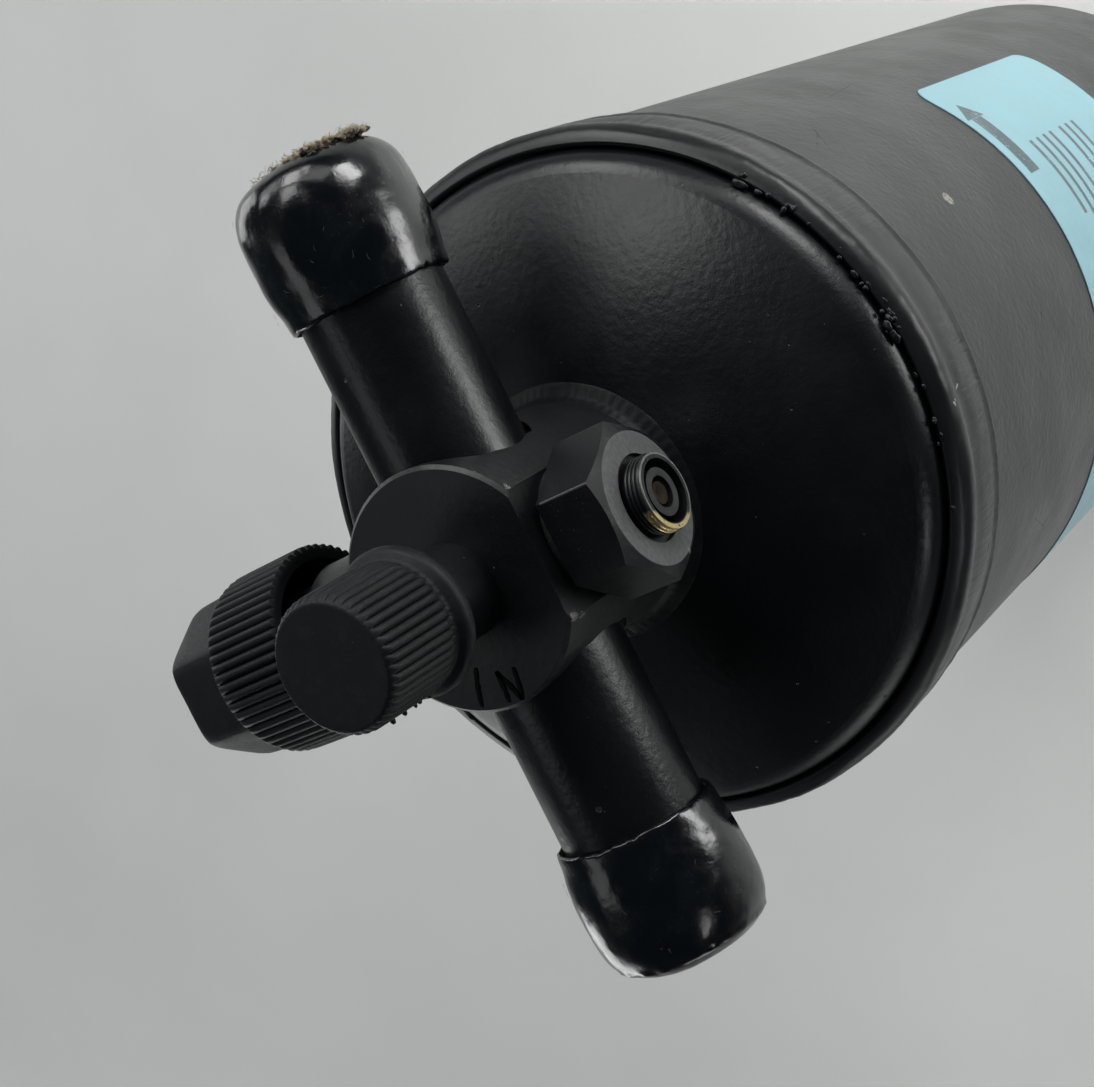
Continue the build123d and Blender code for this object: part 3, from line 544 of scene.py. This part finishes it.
MATERIALS = {
    "can": can_paint(), "dome": dome_paint(), "head": head_paint(), "stub": stub_paint(),
    "cap": cap_plastic(), "vinyl": vinyl(), "hex": hex_metal(), "port": port_metal(),
    "weld": weld_paint(), "ring": ring_paint(), "thread": switch_thread_metal(), "label": label_film(),
    "dark_mark": groove_shade_black(), "fuzz": fuzz_material(), "lint": lint_material(),
    "core": plain_metal("core_metal", (0.07, 0.07, 0.072), (0.12, 0.12, 0.12), 0.3, 6.0),
    "pin": plain_metal("pin_brass", (0.012, 0.009, 0.006), (0.07, 0.05, 0.03), 0.3),
    "spring": plain_metal("spring_steel", (0.3, 0.3, 0.3), (0.45, 0.45, 0.44), 0.28),
    "steel": plain_metal("inner_steel", (0.3, 0.3, 0.29), (0.5, 0.49, 0.47), 0.35, 4.0),
    "rubber": soft_stuff("seal_rubber", (0.006, 0.006, 0.007), (0.014, 0.014, 0.015), 0.4, 0.02, 0.7),
    "felt": soft_stuff("felt", (0.5, 0.48, 0.43), (0.7, 0.68, 0.62), 0.7, 0.25),
    "beads": soft_stuff("desiccant", (0.42, 0.33, 0.22), (0.68, 0.58, 0.44), 2.2, 1.0),
}

NODE_LOOKS = {
    "can_shell": "can", "top_dome": "dome", "head_block": "head", "inlet_stub": "stub", "outlet_stub": "stub",
    "switch_port_body": "hex", "switch_port_oring": "rubber", "charge_port_body": "port",
    "service_port_body": "port", "charge_cap_gasket": "rubber", "service_cap_gasket": "rubber",
    "pickup_tube": "steel", "bed_spring": "spring", "upper_screen_plate": "steel",
    "lower_screen_plate": "steel", "upper_filter_pad": "felt", "lower_filter_pad": "felt",
    "desiccant_bed": "beads", "label": "label",
    "charge_port_cap": "cap", "service_port_cap": "cap", "girth_weld_bead": "weld", "head_weld_ring": "head",
    "inlet_vinyl_cap": "vinyl", "outlet_vinyl_cap": "vinyl",
}
for port in ("switch", "charge", "service"):
    NODE_LOOKS[f"{port}_core_body"] = "core"
    NODE_LOOKS[f"{port}_core_pin"] = "pin"
    NODE_LOOKS[f"{port}_core_spring"] = "spring"
for node, look in NODE_LOOKS.items():
    data = frame["nodes"][node].data
    data.materials.clear()
    data.materials.append(MATERIALS[look])


# ---- mesh helpers -------------------------------------------------------

def make(name, verts, faces, look, body="root", replaces=(), sharp=None):
    """A mesh object from points in millimetres, riding on a body."""
    mesh = bpy.data.meshes.new(name)
    mesh.from_pydata([(x * MM, y * MM, z * MM) for x, y, z in verts], [], faces)
    mesh.validate()
    mesh.shade_smooth()
    if sharp is not None:
        mesh.set_sharp_from_angle(angle=math.radians(sharp))
    mesh.materials.append(MATERIALS[look])
    obj = bpy.data.objects.new(name, mesh)
    bpy.context.scene.collection.objects.link(obj)
    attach(obj, body)
    if replaces:
        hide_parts(*replaces)
    return obj


def fixed(r, h):
    """A plain row of a turned form."""
    return lambda t: (r, h)


def turned(rows, count, place):
    """Points of a turned form, ring by ring. Each row is a function of the angle that gives
    (radius, height); place turns local (x, y, height) into the row frame."""
    verts = []
    for row in rows:
        for i in range(count):
            t = 2 * math.pi * i / count
            r, h = row(t)
            verts.append(place(r * math.cos(t), r * math.sin(t), h))
    return verts


def band(count, j, k):
    """Faces between rings j and k."""
    around = [(i, (i + 1) % count) for i in range(count)]
    return [(j * count + i, j * count + n, k * count + n, k * count + i) for i, n in around]


def closed_ring(rows, count):
    """A ring round the part's axis whose rows go once round its section."""
    faces = []
    for j in range(len(rows)):
        faces += band(count, j, (j + 1) % len(rows))
    return turned(rows, count, upright), faces


def cup(rows, outer_count, count, place):
    """A closed cup: the outer rows run from the mouth to the end, the inner ones from the floor back to
    the mouth."""
    verts = turned(rows, count, place)
    faces = []
    for j in range(len(rows)):
        if j != outer_count - 1:
            faces += band(count, j, (j + 1) % len(rows))
    for j, flip in ((outer_count - 1, False), (outer_count, True)):
        ring = verts[j * count:(j + 1) * count]
        centre = len(verts)
        verts.append(tuple(sum(v[axis] for v in ring) / count for axis in range(3)))
        for i in range(count):
            a, b = j * count + i, j * count + (i + 1) % count
            faces.append((centre, b, a) if flip else (centre, a, b))
    return verts, faces


def swept(first, steps, sides):
    """Faces of a bar with closed ends, through steps + 1 sections of that many points."""
    faces = []
    for i in range(steps):
        a = first + i * sides
        b = a + sides
        for k in range(sides):
            n = (k + 1) % sides
            faces.append((a + k, a + n, b + n, b + k))
    end = first + steps * sides
    faces.append(tuple(range(first + sides - 1, first - 1, -1)))
    faces.append(tuple(range(end, end + sides)))
    return faces


# Where turned forms go: local x, y and height to the row frame.
def along_x(sign):
    return lambda a, b, h: (sign * h, a, PORT + sign * b)


def along_switch(a, b, h):
    return a, h, PORT + b


def along_service(a, b, h):
    return a, -h, SERVICE + b


def upright(a, b, h):
    return a, b, h


def above_edge(a, b, h):
    return a, b, EDGE + h


def polar(r, t, z):
    """Point at radius r and angle t."""
    return r * math.cos(t), r * math.sin(t), z


def wobble(point, size, depth, seed=0.0):
    return depth * noise.noise(Vector(point) / size + Vector((seed, seed * 1.7, seed * 0.3)))


def smooth_line(points, steps):
    """Catmull-Rom samples through 2-D points."""
    out = []
    for i in range(len(points) - 1):
        p0 = points[max(i - 1, 0)]
        p1, p2 = points[i], points[i + 1]
        p3 = points[min(i + 2, len(points) - 1)]
        for s in range(steps):
            t = s / steps
            out.append(tuple(
                0.5 * (2 * b + (c - a) * t + (2 * a - 5 * b + 4 * c - d) * t * t
                       + (3 * b - a - 3 * c + d) * t ** 3)
                for a, b, c, d in zip(p0, p1, p2, p3)
            ))
    out.append(points[-1])
    return out


# ---- welds --------------------------------------------------------------

def girth_weld():
    """Rippled bead over the can's upper edge, with a shallow groove along its foot."""
    outline = smooth_line([
        (49.55, 2.1), (50.3, 1.75), (51.15, 1.1), (51.75, 0.1), (51.85, -0.9), (51.62, -2.1), (51.6, -3.2),
        (51.72, -5.0), (51.75, -7.0), (51.66, -9.0), (51.48, -10.3), (51.5, -11.0), (51.72, -11.7),
        (51.45, -12.4), (50.95, -12.75), (50.7, -12.9),
    ], 3)
    calm_r, ramp = 50.9, 0.5      # the bead is smooth up to this radius, and fully rippled a ramp farther out
    arc_r = 51.5

    def row(r, z):
        def at(t):
            p = polar(r, t, z)
            fade = min(1.0, max(0.0, (r - calm_r) / ramp))
            arc = t * arc_r
            cross = noise.noise(Vector((arc / 0.9, z / 9.0, 3.0))) * 0.035
            cross += noise.noise(Vector((arc / 2.3, z / 12.0, 9.0))) * 0.05
            lump = wobble(p, 9.0, 0.12) + wobble(p, 2.2, 0.05, 4.0)
            return min(WELD_REACH, r + fade * (cross + lump)), EDGE + z + fade * wobble(p, 14.0, 0.35, 8.0)
        return at

    back = ((50.7, -12.6), (50.7, 0.0), (48.9, 0.2), (48.9, 1.4))
    rows = [row(r, z) for r, z in outline] + [fixed(r, EDGE + z) for r, z in back]
    verts, faces = closed_ring(rows, 900)
    make("girth_weld", verts, faces, "weld", replaces=["girth_weld_bead"])


def head_weld():
    """Fillet between the end and the head block, rippled most in its middle."""
    arc_r, pitch = 18.0, 1.5

    def row(r, z, top):
        def at(t):
            arc = t * arc_r
            ripple = 0.022 * math.sin(arc * 2 * math.pi / pitch + 5.0 * noise.noise(Vector((arc / 5, 0, 0))))
            lump = wobble(polar(r, t, z), 3.4, 0.13, 2.0)
            return r + (ripple + lump) * top, z + (ripple + lump) * top
        return at

    legs = smooth_line([
        (16.4, 210.9), (16.6, 210.6), (17.1, 209.75), (17.8, 209.15), (18.55, 208.6), (18.9, 208.3),
    ], 3)
    rows = [row(r, z, math.sin(math.pi * i / (len(legs) - 1))) for i, (r, z) in enumerate(legs)]
    rows += [fixed(18.7, 207.9), fixed(16.4, 207.9)]
    verts, faces = closed_ring(rows, 420)
    make("head_weld", verts, faces, "ring", replaces=["head_weld_ring"])


# ---- small lumps --------------------------------------------------------

def lumps(name, spots, look, body, limit=0.0):
    """Small ragged lumps. A spot is (centre, three half axes as vectors). A limit holds them inside that
    radius."""
    verts, faces = [], []
    lats, lons = 7, 10
    for centre, u, v, w in spots:
        base = len(verts)
        for i in range(lats + 1):
            a = math.pi * i / lats
            for j in range(lons):
                b = 2 * math.pi * j / lons
                d = u * (math.sin(a) * math.cos(b)) + v * (math.sin(a) * math.sin(b)) + w * math.cos(a)
                p = centre + d
                p += d * noise.noise(p * 1.3) * 0.75
                reach = math.hypot(p.x, p.y)
                if limit and reach > limit:
                    p.x *= limit / reach
                    p.y *= limit / reach
                verts.append(tuple(p))
        for i in range(lats):
            for j in range(lons):
                n = (j + 1) % lons
                a, b = base + i * lons, base + (i + 1) * lons
                faces.append((a + j, b + j, b + n, a + n))
    make(name, verts, faces, look, body)


def spatter():
    """Rough beads thrown into the groove between the weld and the rolled end."""
    rng = random.Random(11)
    groove_r, groove_z = 49.0, EDGE + 2.75
    spots = []
    # Angles in degrees, how many, least and greatest size.
    for start, end, many, least, most in (
        (128.5, 118.0, 13, 0.2, 0.58), (116.0, 108.0, 5, 0.12, 0.35), (106.0, 98.0, 8, 0.16, 0.45),
        (97.5, 92.5, 9, 0.2, 0.58), (88.0, 60.0, 9, 0.15, 0.35), (200.0, 192.0, 6, 0.15, 0.4),
        (300.0, 285.0, 9, 0.15, 0.4),
    ):
        for _ in range(many):
            t = math.radians(rng.uniform(end, start))
            size = rng.uniform(least, most)
            r = rng.uniform(groove_r, groove_r + 1.1)
            z = groove_z - (r - groove_r) + rng.uniform(-0.3, 0.1)
            along = Vector((-math.sin(t), math.cos(t), 0)) * size * rng.uniform(0.9, 2.2)
            outward = Vector((math.cos(t), math.sin(t), 0)) * size
            up = Vector((0, 0, size * rng.uniform(0.4, 0.75)))
            spots.append((Vector(polar(r, t, z)), along, outward, up))
    lumps("weld_spatter", spots, "weld", "root", limit=51.6)


def residue():
    """Dried felt-like residue with stray hairs, stuck across the end of the outlet's soft cap."""
    rng = random.Random(23)
    line = smooth_line([
        (-6.5, 35.4), (-4.0, 37.4), (-1.3, 39.0), (2.6, 40.2), (5.5, 40.3), (6.4, 37.0), (8.6, 35.3),
        (8.5, 32.3),
    ], 6)
    lump_x, hair_x = -57.5, -57.55
    spots, hairs = [], []
    for y, z in line:
        for _ in range(5):
            centre = Vector((
                lump_x - rng.uniform(0.0, 0.35), y + rng.gauss(0, 0.7),
                EDGE + z - abs(rng.gauss(0, 1.1)) + 0.3))
            size = rng.uniform(0.25, 0.65)
            out = Vector((size * rng.uniform(0.5, 0.9), 0, 0))
            spots.append((centre, out, Vector((0, size, 0)), Vector((0, 0, size * 0.9))))
        for _ in range(11):
            p = (hair_x - rng.uniform(0.0, 0.4), y + rng.gauss(0, 0.8), EDGE + z + rng.gauss(0, 0.8))
            direction = (rng.uniform(-1.0, 0.2), rng.uniform(-1, 1), rng.uniform(-1, 1))
            hairs.append((p, direction, (-1.0, 0.0, 0.001)))
    lumps("cap_residue", spots, "fuzz", "outlet_cap")
    fibres("cap_residue_hairs", hairs, "outlet_cap", "fuzz", 1.05, 0.028)


def nibs():
    """Moulding nibs on the ribs of the small cap."""
    rng = random.Random(5)
    rib_r = 8.85
    spots = []
    for angle, z in ((2.0, 62.4), (5.0, 64.1), (8.0, 66.9), (3.0, 68.6), (10.0, 61.8), (0.0, 65.4)):
        t = math.radians(angle)
        out = Vector((math.cos(t), math.sin(t), 0))
        size = rng.uniform(0.2, 0.34)
        across = Vector((-out.y, out.x, 0))
        centre = out * rib_r + Vector((0, 0, EDGE + z))
        spots.append((centre, out * size * 1.4, across * size, Vector((0, 0, size * 1.1))))
    lumps("cap_nibs", spots, "cap", "charge_cap")


# ---- soft caps ----------------------------------------------------------

def soft_cap(name, sign, body, replaces, seed, flash):
    """Dipped vinyl cup: uneven rim, slight bulge, rounded shoulder and dished tip, hollow inside."""
    outer = smooth_line([
        (10.85, 37.95), (11.2, 38.15), (11.35, 38.8), (11.5, 40.2), (11.85, 42.2), (12.1, 44.5), (12.2, 47.5),
        (12.15, 50.0), (11.9, 52.2), (11.3, 54.2), (10.2, 55.9), (8.6, 57.0), (6.5, 57.5), (4.0, 57.62),
        (1.6, 57.6),
    ], 4)
    inner = [
        (1.6, 55.72), (6.0, 55.72), (10.0, 55.72), (10.25, 55.4), (10.25, 50.0), (10.25, 44.0), (10.25, 39.0),
        (10.45, 38.1),
    ]
    mouth, shoulder, tip = 38.0, 55.6, 57.0
    widest, farthest = 12.3, 57.72

    def row(r, h):
        def at(t):
            p = Vector(polar(r, t, h))
            rim = max(0.0, 1 - abs(h - mouth - 0.2))
            shell = min(1.0, max(0.0, (h - mouth) / 3.0))
            d = (wobble(p, 6.5, 0.26, seed) + wobble(p, 2.2, 0.06, seed + 3)) * shell
            d += wobble(p, 0.8, 0.02, seed + 5)
            edge = 0.45 * noise.noise(Vector((t * 3.0, seed, 0)))
            edge += 0.22 * noise.noise(Vector((t * 13.0, seed, 5)))
            if flash:
                ring = math.exp(-((h - shoulder) / 0.5) ** 2) * (r > 9.5)
                d += ring * (0.25 + 0.3 * noise.noise(Vector((t * 6.0, seed, 2))))
            if h > tip:
                return max(0.2, r), min(farthest, h + 0.8 * d)
            return min(widest, r + d), h + rim * edge
        return at

    rows = [row(r, h) for r, h in outer] + [fixed(r, h) for r, h in inner]
    verts, faces = cup(rows, len(outer), 220, along_x(sign))
    make(name, verts, faces, "vinyl", body, replaces)


def fibres(name, starts, body, look, length, radius):
    """Loose fibres lying on a piece, as one curve object of thin round strands. A start is (point,
    direction, normal of the surface)."""
    curve = bpy.data.curves.new(name, "CURVE")
    curve.dimensions = "3D"
    curve.bevel_depth = radius * MM
    curve.bevel_resolution = 1
    rng = random.Random(len(starts) * 31 + 5)
    count = 7
    for p, direction, normal in starts:
        spline = curve.splines.new("POLY")
        spline.points.add(count - 1)
        d = Vector(direction).normalized()
        side = d.cross(Vector(normal)).normalized()
        pos = Vector(p)
        size = length * rng.uniform(0.4, 1.4)
        bend = rng.uniform(-1, 1)
        for k in range(count):
            spline.points[k].co = (*(pos * MM), 1.0)
            d = (d + side * bend * 0.25 + Vector(normal) * rng.uniform(-0.06, 0.05)).normalized()
            pos = pos + d * size / count
    curve.materials.append(MATERIALS[look])
    obj = bpy.data.objects.new(name, curve)
    bpy.context.scene.collection.objects.link(obj)
    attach(obj, body)


def lint(name, sign, body, count, seed):
    """Short fibres scattered over a soft cap."""
    rng = random.Random(seed)
    surface_r, shoulder = 12.25, 52
    starts = []
    for _ in range(count):
        t = rng.uniform(0, 2 * math.pi)
        h = rng.uniform(40.0, 56.0)
        r = surface_r if h < shoulder else surface_r - (h - shoulder) ** 2 * 0.12
        n = Vector((0, math.cos(t), sign * math.sin(t)))
        p = Vector((sign * h, r * math.cos(t), PORT + sign * r * math.sin(t)))
        tangent = Vector((1, 0, 0)) * rng.uniform(-1, 1) + n.cross(Vector((1, 0, 0))) * rng.uniform(-1, 1)
        starts.append((p, tangent, n))
    fibres(name, starts, body, "lint", 0.9, 0.016)


# ---- switch port, valve cores, mark -------------------------------------

def switch_thread():
    """Fine thread on the thin stub that stands out of the hexagon, fading out at both ends."""
    turns, per = 3.6, 64
    start, pitch = 24.62, 0.62
    root_r = 4.96
    run_out = 12
    section = [(root_r, -0.3), (5.2, -0.06), (5.2, 0.06), (root_r, 0.3)]
    total = int(turns * per)
    verts = []
    for i in range(total + 1):
        t = 2 * math.pi * i / per
        h = start + pitch * i / per
        ease = min(1.0, i / run_out, (total - i) / run_out)
        for r, dh in section:
            x, z, y = polar(root_r + (r - root_r) * ease, t, min(SWITCH_END, h + dh))
            verts.append((x, y, PORT + z))
    make("switch_stub_thread", verts, swept(0, total, len(section)), "thread")


def core_spring(port, place, low, high):
    """The valve core's coil spring, wound between its seat and its top."""
    per, turns, sides = 40, 4, 8
    mean, wire = 1.4, 0.17
    total = per * turns
    climb = (high - low - 2 * wire) / total
    verts = []
    for i in range(total + 1):
        t = 2 * math.pi * i / per
        centre = low + wire + climb * i
        for k in range(sides):
            a = 2 * math.pi * k / sides
            verts.append(place(*polar(mean + wire * math.cos(a), t, centre + wire * math.sin(a))))
    obj = make(f"{port}_core_coil", verts, swept(0, total, sides), "spring", "root",
               [f"{port}_core_spring"])
    seat = Vector(place(0.0, 0.0, low))
    top = Vector(place(0.0, 0.0, high))
    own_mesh(obj)


def in_mark():
    """The plain letters IN, pressed by hand into the face beside the inlet, drawn as near-black dull strips
    lying on the face: painted shade standing in for the shade in the pressed grooves.
    """
    strokes = [
        [(9.9, -2.5), (12.3, -3.6), (15.0, -4.5)],
        [(11.3, 0.2), (13.4, 0.15), (15.7, -0.15)],
        [(11.4, 0.1), (13.7, 1.2), (16.1, 1.9)],
        [(11.6, 2.9), (14.0, 2.5), (16.2, 1.8)],
    ]
    reach = 16.0              # the letters end inside the face's rim
    under, over = FACE - 0.06, FACE + 0.03
    verts, faces = [], []
    for stroke in strokes:
        pts = smooth_line(stroke, 7)
        base = len(verts)
        last = len(pts) - 1
        for i, (x, y) in enumerate(pts):
            x1, y1 = pts[min(i + 1, last)]
            x0, y0 = pts[max(i - 1, 0)]
            d = Vector((x1 - x0, y1 - y0)).normalized()
            half = 0.5 * (0.35 + 0.65 * math.sin(math.pi * (i + 1) / (last + 2)) ** 0.5)
            half *= 1 + 0.25 * noise.noise(Vector((x * 2, y * 2, 1)))
            if math.hypot(x, y) > reach:
                scale = reach / math.hypot(x, y)
                x, y = x * scale, y * scale
            nx, ny = -d.y * half, d.x * half
            verts += [
                (x - nx, y - ny, under), (x - nx * 0.8, y - ny * 0.8, over),
                (x + nx * 0.8, y + ny * 0.8, over), (x + nx, y + ny, under),
            ]
        faces += swept(base, last, 4)
    make("in_mark", verts, faces, "dark_mark")


# ---- screw caps ---------------------------------------------------------

def rib_wave(t, count):
    """Rounded rib between narrow grooves, from 0 to 1."""
    phase = (t * count / (2 * math.pi)) % 1.0
    return max(0.0, math.sin(math.pi * phase)) ** 0.62


def ribbed(r, h, share, ribs, depth, seed):
    """Row of a screw cap with its share of the ribs' full depth, slightly rough."""
    def at(t):
        rough = wobble(polar(r, t, h), 0.9, 0.02, seed)
        return r + share * depth * rib_wave(t, ribs) + rough, h
    return at


def screw_cap(name, rows, outer_count, count, place, body, replaces):
    verts, faces = cup(rows, outer_count, count, place)
    make(name, verts, faces, "cap", body, replaces, sharp=50)


def small_cap():
    """Ribbed valve cap: plain rear flange, long rounded ribs that fade at both ends, flat face."""
    ribs, per_rib, depth = 44, 14, 0.6
    # Radius, height above the can's edge, share of the ribs.
    outer = [
        (7.2, 57.02, 0), (9.2, 57.0, 0), (9.62, 57.12, 0), (9.8, 57.45, 0), (9.82, 58.2, 0), (9.7, 58.7, 0),
        (9.35, 59.05, 0), (8.75, 59.3, 0), (8.42, 59.6, 0), (8.35, 60.0, 0.15), (8.33, 60.5, 0.6),
        (8.3, 61.0, 0.95), (8.33, 62.0, 1), (8.31, 64.0, 1), (8.28, 66.5, 1), (8.26, 69.0, 1), (8.24, 71.0, 1),
        (8.23, 72.0, 0.95), (8.22, 72.5, 0.7), (8.2, 72.85, 0.3), (8.1, 73.1, 0.05), (7.9, 73.24, 0),
        (7.6, 73.26, 0), (5.0, 73.22, 0), (2.0, 73.22, 0),
    ]
    inner = [
        (0.6, 59.5), (3.9, 59.5), (3.9, 67.6), (6.0, 67.6), (6.0, 70.9), (7.2, 70.9), (7.2, 66.0), (7.2, 60.0),
    ]
    rows = [ribbed(*row, ribs, depth, 1.0) for row in outer] + [fixed(*row) for row in inner]
    screw_cap("charge_cap_skin", rows, len(outer), ribs * per_rib, above_edge, "charge_cap",
              ["charge_port_cap"])


def hex_radius(t, flat):
    """Distance to a rounded hexagon's side with corners at the ends of the local y axis."""
    local = (t + math.pi / 2 + math.pi / 6) % (math.pi / 3) - math.pi / 6
    side = flat / math.cos(local)
    corner = flat + 1.05
    k = 0.35                  # how softly a corner is rounded
    return -k * math.log(math.exp(-side / k) + math.exp(-corner / k))


def big_cap():
    """Ribbed cap with a tapered wrench end."""
    ribs, per_rib, depth = 56, 14, 0.62
    flat = 11.0
    # Radius, distance from the part's axis, share of the ribs.
    barrel = [
        (11.2, 28.2, 0), (12.2, 28.1, 0), (12.6, 28.15, 0.35), (12.75, 28.35, 0.9), (12.75, 29.0, 1),
        (12.73, 31.0, 1), (12.7, 34.0, 1), (12.67, 37.0, 1), (12.64, 39.5, 1), (12.62, 40.6, 0.95),
        (12.6, 41.2, 0.6), (12.5, 41.7, 0.15),
    ]
    # What the wrench end gains over its flats, distance from the part's axis.
    grip = [
        (0.02, 42.0), (0.0, 42.4), (-0.05, 43.5), (-0.15, 46.0), (-0.28, 48.5), (-0.4, 50.0), (-0.62, 50.9),
        (-1.1, 51.4), (-2.0, 51.58),
    ]
    end = [(6.0, 51.55), (2.5, 51.55)]
    inner = [
        (0.6, 34.5), (4.9, 34.5), (4.9, 42.6), (7.0, 42.6), (7.0, 46.6), (7.1, 46.6), (7.1, 41.4),
        (11.2, 41.4), (11.2, 36.0), (11.2, 30.0),
    ]

    def hexed(gain, h):
        def at(t):
            return hex_radius(t, flat) + gain, h + wobble(polar(9.0, t, h), 3.0, 0.04, 6.0)
        return at

    rows = [ribbed(*row, ribs, depth, 2.0) for row in barrel] + [hexed(*row) for row in grip]
    rows += [fixed(*row) for row in end + inner]
    outer_count = len(rows) - len(inner)
    screw_cap("service_cap_skin", rows, outer_count, ribs * per_rib, along_service, "service_cap",
              ["service_port_cap"])


girth_weld()
spatter()
head_weld()
soft_cap("outlet_soft_cap", -1, "outlet_cap", ["outlet_vinyl_cap"], 1.0, False)
soft_cap("inlet_soft_cap", 1, "inlet_cap", ["inlet_vinyl_cap"], 5.0, True)
lint("outlet_cap_lint", -1, "outlet_cap", 46, 3)
lint("inlet_cap_lint", 1, "inlet_cap", 26, 8)
residue()
switch_thread()
core_spring("switch", along_switch, 22.46, 25.64)
core_spring("charge", upright, 248.31, 251.49)
core_spring("service", along_service, 28.31, 31.49)
in_mark()
nibs()
small_cap()
big_cap()


# ---- floor, light and camera, in metres ---------------------------------

def floor():
    side, cells = 3.0, 24
    below = -0.0002
    row = cells + 1
    verts = [
        (side * (i / cells - 0.5), side * (j / cells - 0.5), below)
        for j in range(row) for i in range(row)
    ]
    faces = [
        (j * row + i, j * row + i + 1, (j + 1) * row + i + 1, (j + 1) * row + i)
        for j in range(cells) for i in range(cells)
    ]
    mesh = bpy.data.meshes.new("floor")
    mesh.from_pydata(verts, [], faces)
    m = Mat("floor_card")
    tone = m.noise(60.0, 3, 0.5)
    base = m.mix(m.span(tone, 0.3, 0.7), (0.60, 0.61, 0.59), (0.63, 0.64, 0.62))
    m.relief(m.noise(0.8, 3), 0.02)
    m.done(base, m.span(tone, 0.3, 0.7, 0.6, 0.7))
    # The card turns to the plain backdrop away from the part, for the camera alone.
    plain = m.add("ShaderNodeEmission")
    plain.inputs["Color"].default_value = BACKDROP
    path = m.add("ShaderNodeLightPath")
    away = m.span(m.vec("DISTANCE", m.mm, (20.0, -200.0, 0.0)), 360.0, 600.0, 0.26, 1.0)
    mixer = m.add("ShaderNodeMixShader")
    m.link(m.times(away, path.outputs["Is Camera Ray"]), mixer.inputs[0])
    m.link(m.bsdf.outputs[0], mixer.inputs[1])
    m.link(plain.outputs[0], mixer.inputs[2])
    m.link(mixer.outputs[0], m.out.inputs[0])
    mesh.materials.append(m.mat)
    obj = bpy.data.objects.new("floor", mesh)
    bpy.context.scene.collection.objects.link(obj)


def softbox(name, place, target, size, power, spread=180.0):
    """Rectangular light of that size and power in watts, turned to a target; spread is in degrees."""
    light = bpy.data.lights.new(name, "AREA")
    light.shape = "RECTANGLE"
    light.size, light.size_y = size
    light.energy = power
    light.spread = math.radians(spread)
    obj = bpy.data.objects.new(name, light)
    bpy.context.scene.collection.objects.link(obj)
    obj.location = place
    obj.rotation_mode = "QUATERNION"
    obj.rotation_quaternion = (Vector(target) - Vector(place)).to_track_quat("-Z", "Y")


def lights():
    near_size, far_size = (0.15, 0.15), (0.36, 0.36)
    upper_part = (0.0, 0.0, 0.2)
    softbox("key", (0.0, 0.42, 0.09), (0.0, 0.0, 0.09), near_size, 0.52)
    softbox("key_high", (-0.27, 0.322, 0.24), (0.0, 0.0, 0.24), near_size, 0.7)
    for name, place, power in (
        ("left", (-0.834, 0.0, 0.537), 2.3),
        ("left_high", (-0.579, 0.0, 0.889), 1.45),
        ("left_back", (-0.723, -0.417, 0.537), 0.7),
        ("left_front", (-0.723, 0.417, 0.537), 0.57),
        ("back_right", (0.371, -0.643, 0.096), 1.27),
        ("back_left", (-0.371, -0.643, 0.096), 0.76),
        ("right", (0.743, 0.0, 0.096), 0.59),
        ("back_high", (0.0, -0.579, 0.889), 0.29),
    ):
        softbox(name, place, upper_part, far_size, power)
    softbox("floor_wash_right", (0.45, 0.32, 0.35), (0.19, 0.02, 0.0), (0.25, 0.2), 0.2, 50)
    softbox("floor_wash_left", (-0.30, 0.42, 0.35), (-0.11, 0.12, 0.0), (0.2, 0.2), 0.22, 40)
    softbox("floor_wash_far", (-0.60, -0.60, 0.50), (-0.16, -0.28, 0.0), (0.25, 0.25), 0.12, 55)


def world():
    """Faint cool light from all round; the camera sees the plain backdrop instead."""
    studio = bpy.data.worlds.new("studio")
    bpy.context.scene.world = studio
    studio.use_nodes = True
    tree = studio.node_tree
    tree.nodes.clear()
    out = tree.nodes.new("ShaderNodeOutputWorld")
    path = tree.nodes.new("ShaderNodeLightPath")
    mixer = tree.nodes.new("ShaderNodeMixShader")
    tree.links.new(path.outputs["Is Camera Ray"], mixer.inputs[0])
    for slot, colour, strength in ((1, (0.6, 0.82, 1.0, 1.0), 0.045), (2, BACKDROP, 1.0)):
        background = tree.nodes.new("ShaderNodeBackground")
        background.inputs["Color"].default_value = colour
        background.inputs["Strength"].default_value = strength
        tree.links.new(background.outputs[0], mixer.inputs[slot])
    tree.links.new(mixer.outputs[0], out.inputs[0])


def camera():
    """The photo's view."""
    place = (-0.017855, 0.156529, 0.438417)
    right = (0.44712904, 0.74595, -0.49359317)
    up = (-0.89173244, 0.3286096, -0.31117355)
    forward = (0.06992046, -0.57928778, -0.81211871)
    data = bpy.data.cameras.new("camera")
    data.sensor_width = 36.0
    data.lens = 65.83
    data.clip_start, data.clip_end = 0.01, 20.0
    obj = bpy.data.objects.new("camera", data)
    bpy.context.scene.collection.objects.link(obj)
    rows = [(right[i], up[i], -forward[i], place[i]) for i in range(3)]
    obj.matrix_world = Matrix([*rows, (0, 0, 0, 1)])
    bpy.context.scene.camera = obj


floor()
lights()
world()
camera()
bpy.context.scene.view_settings.view_transform = "Standard"
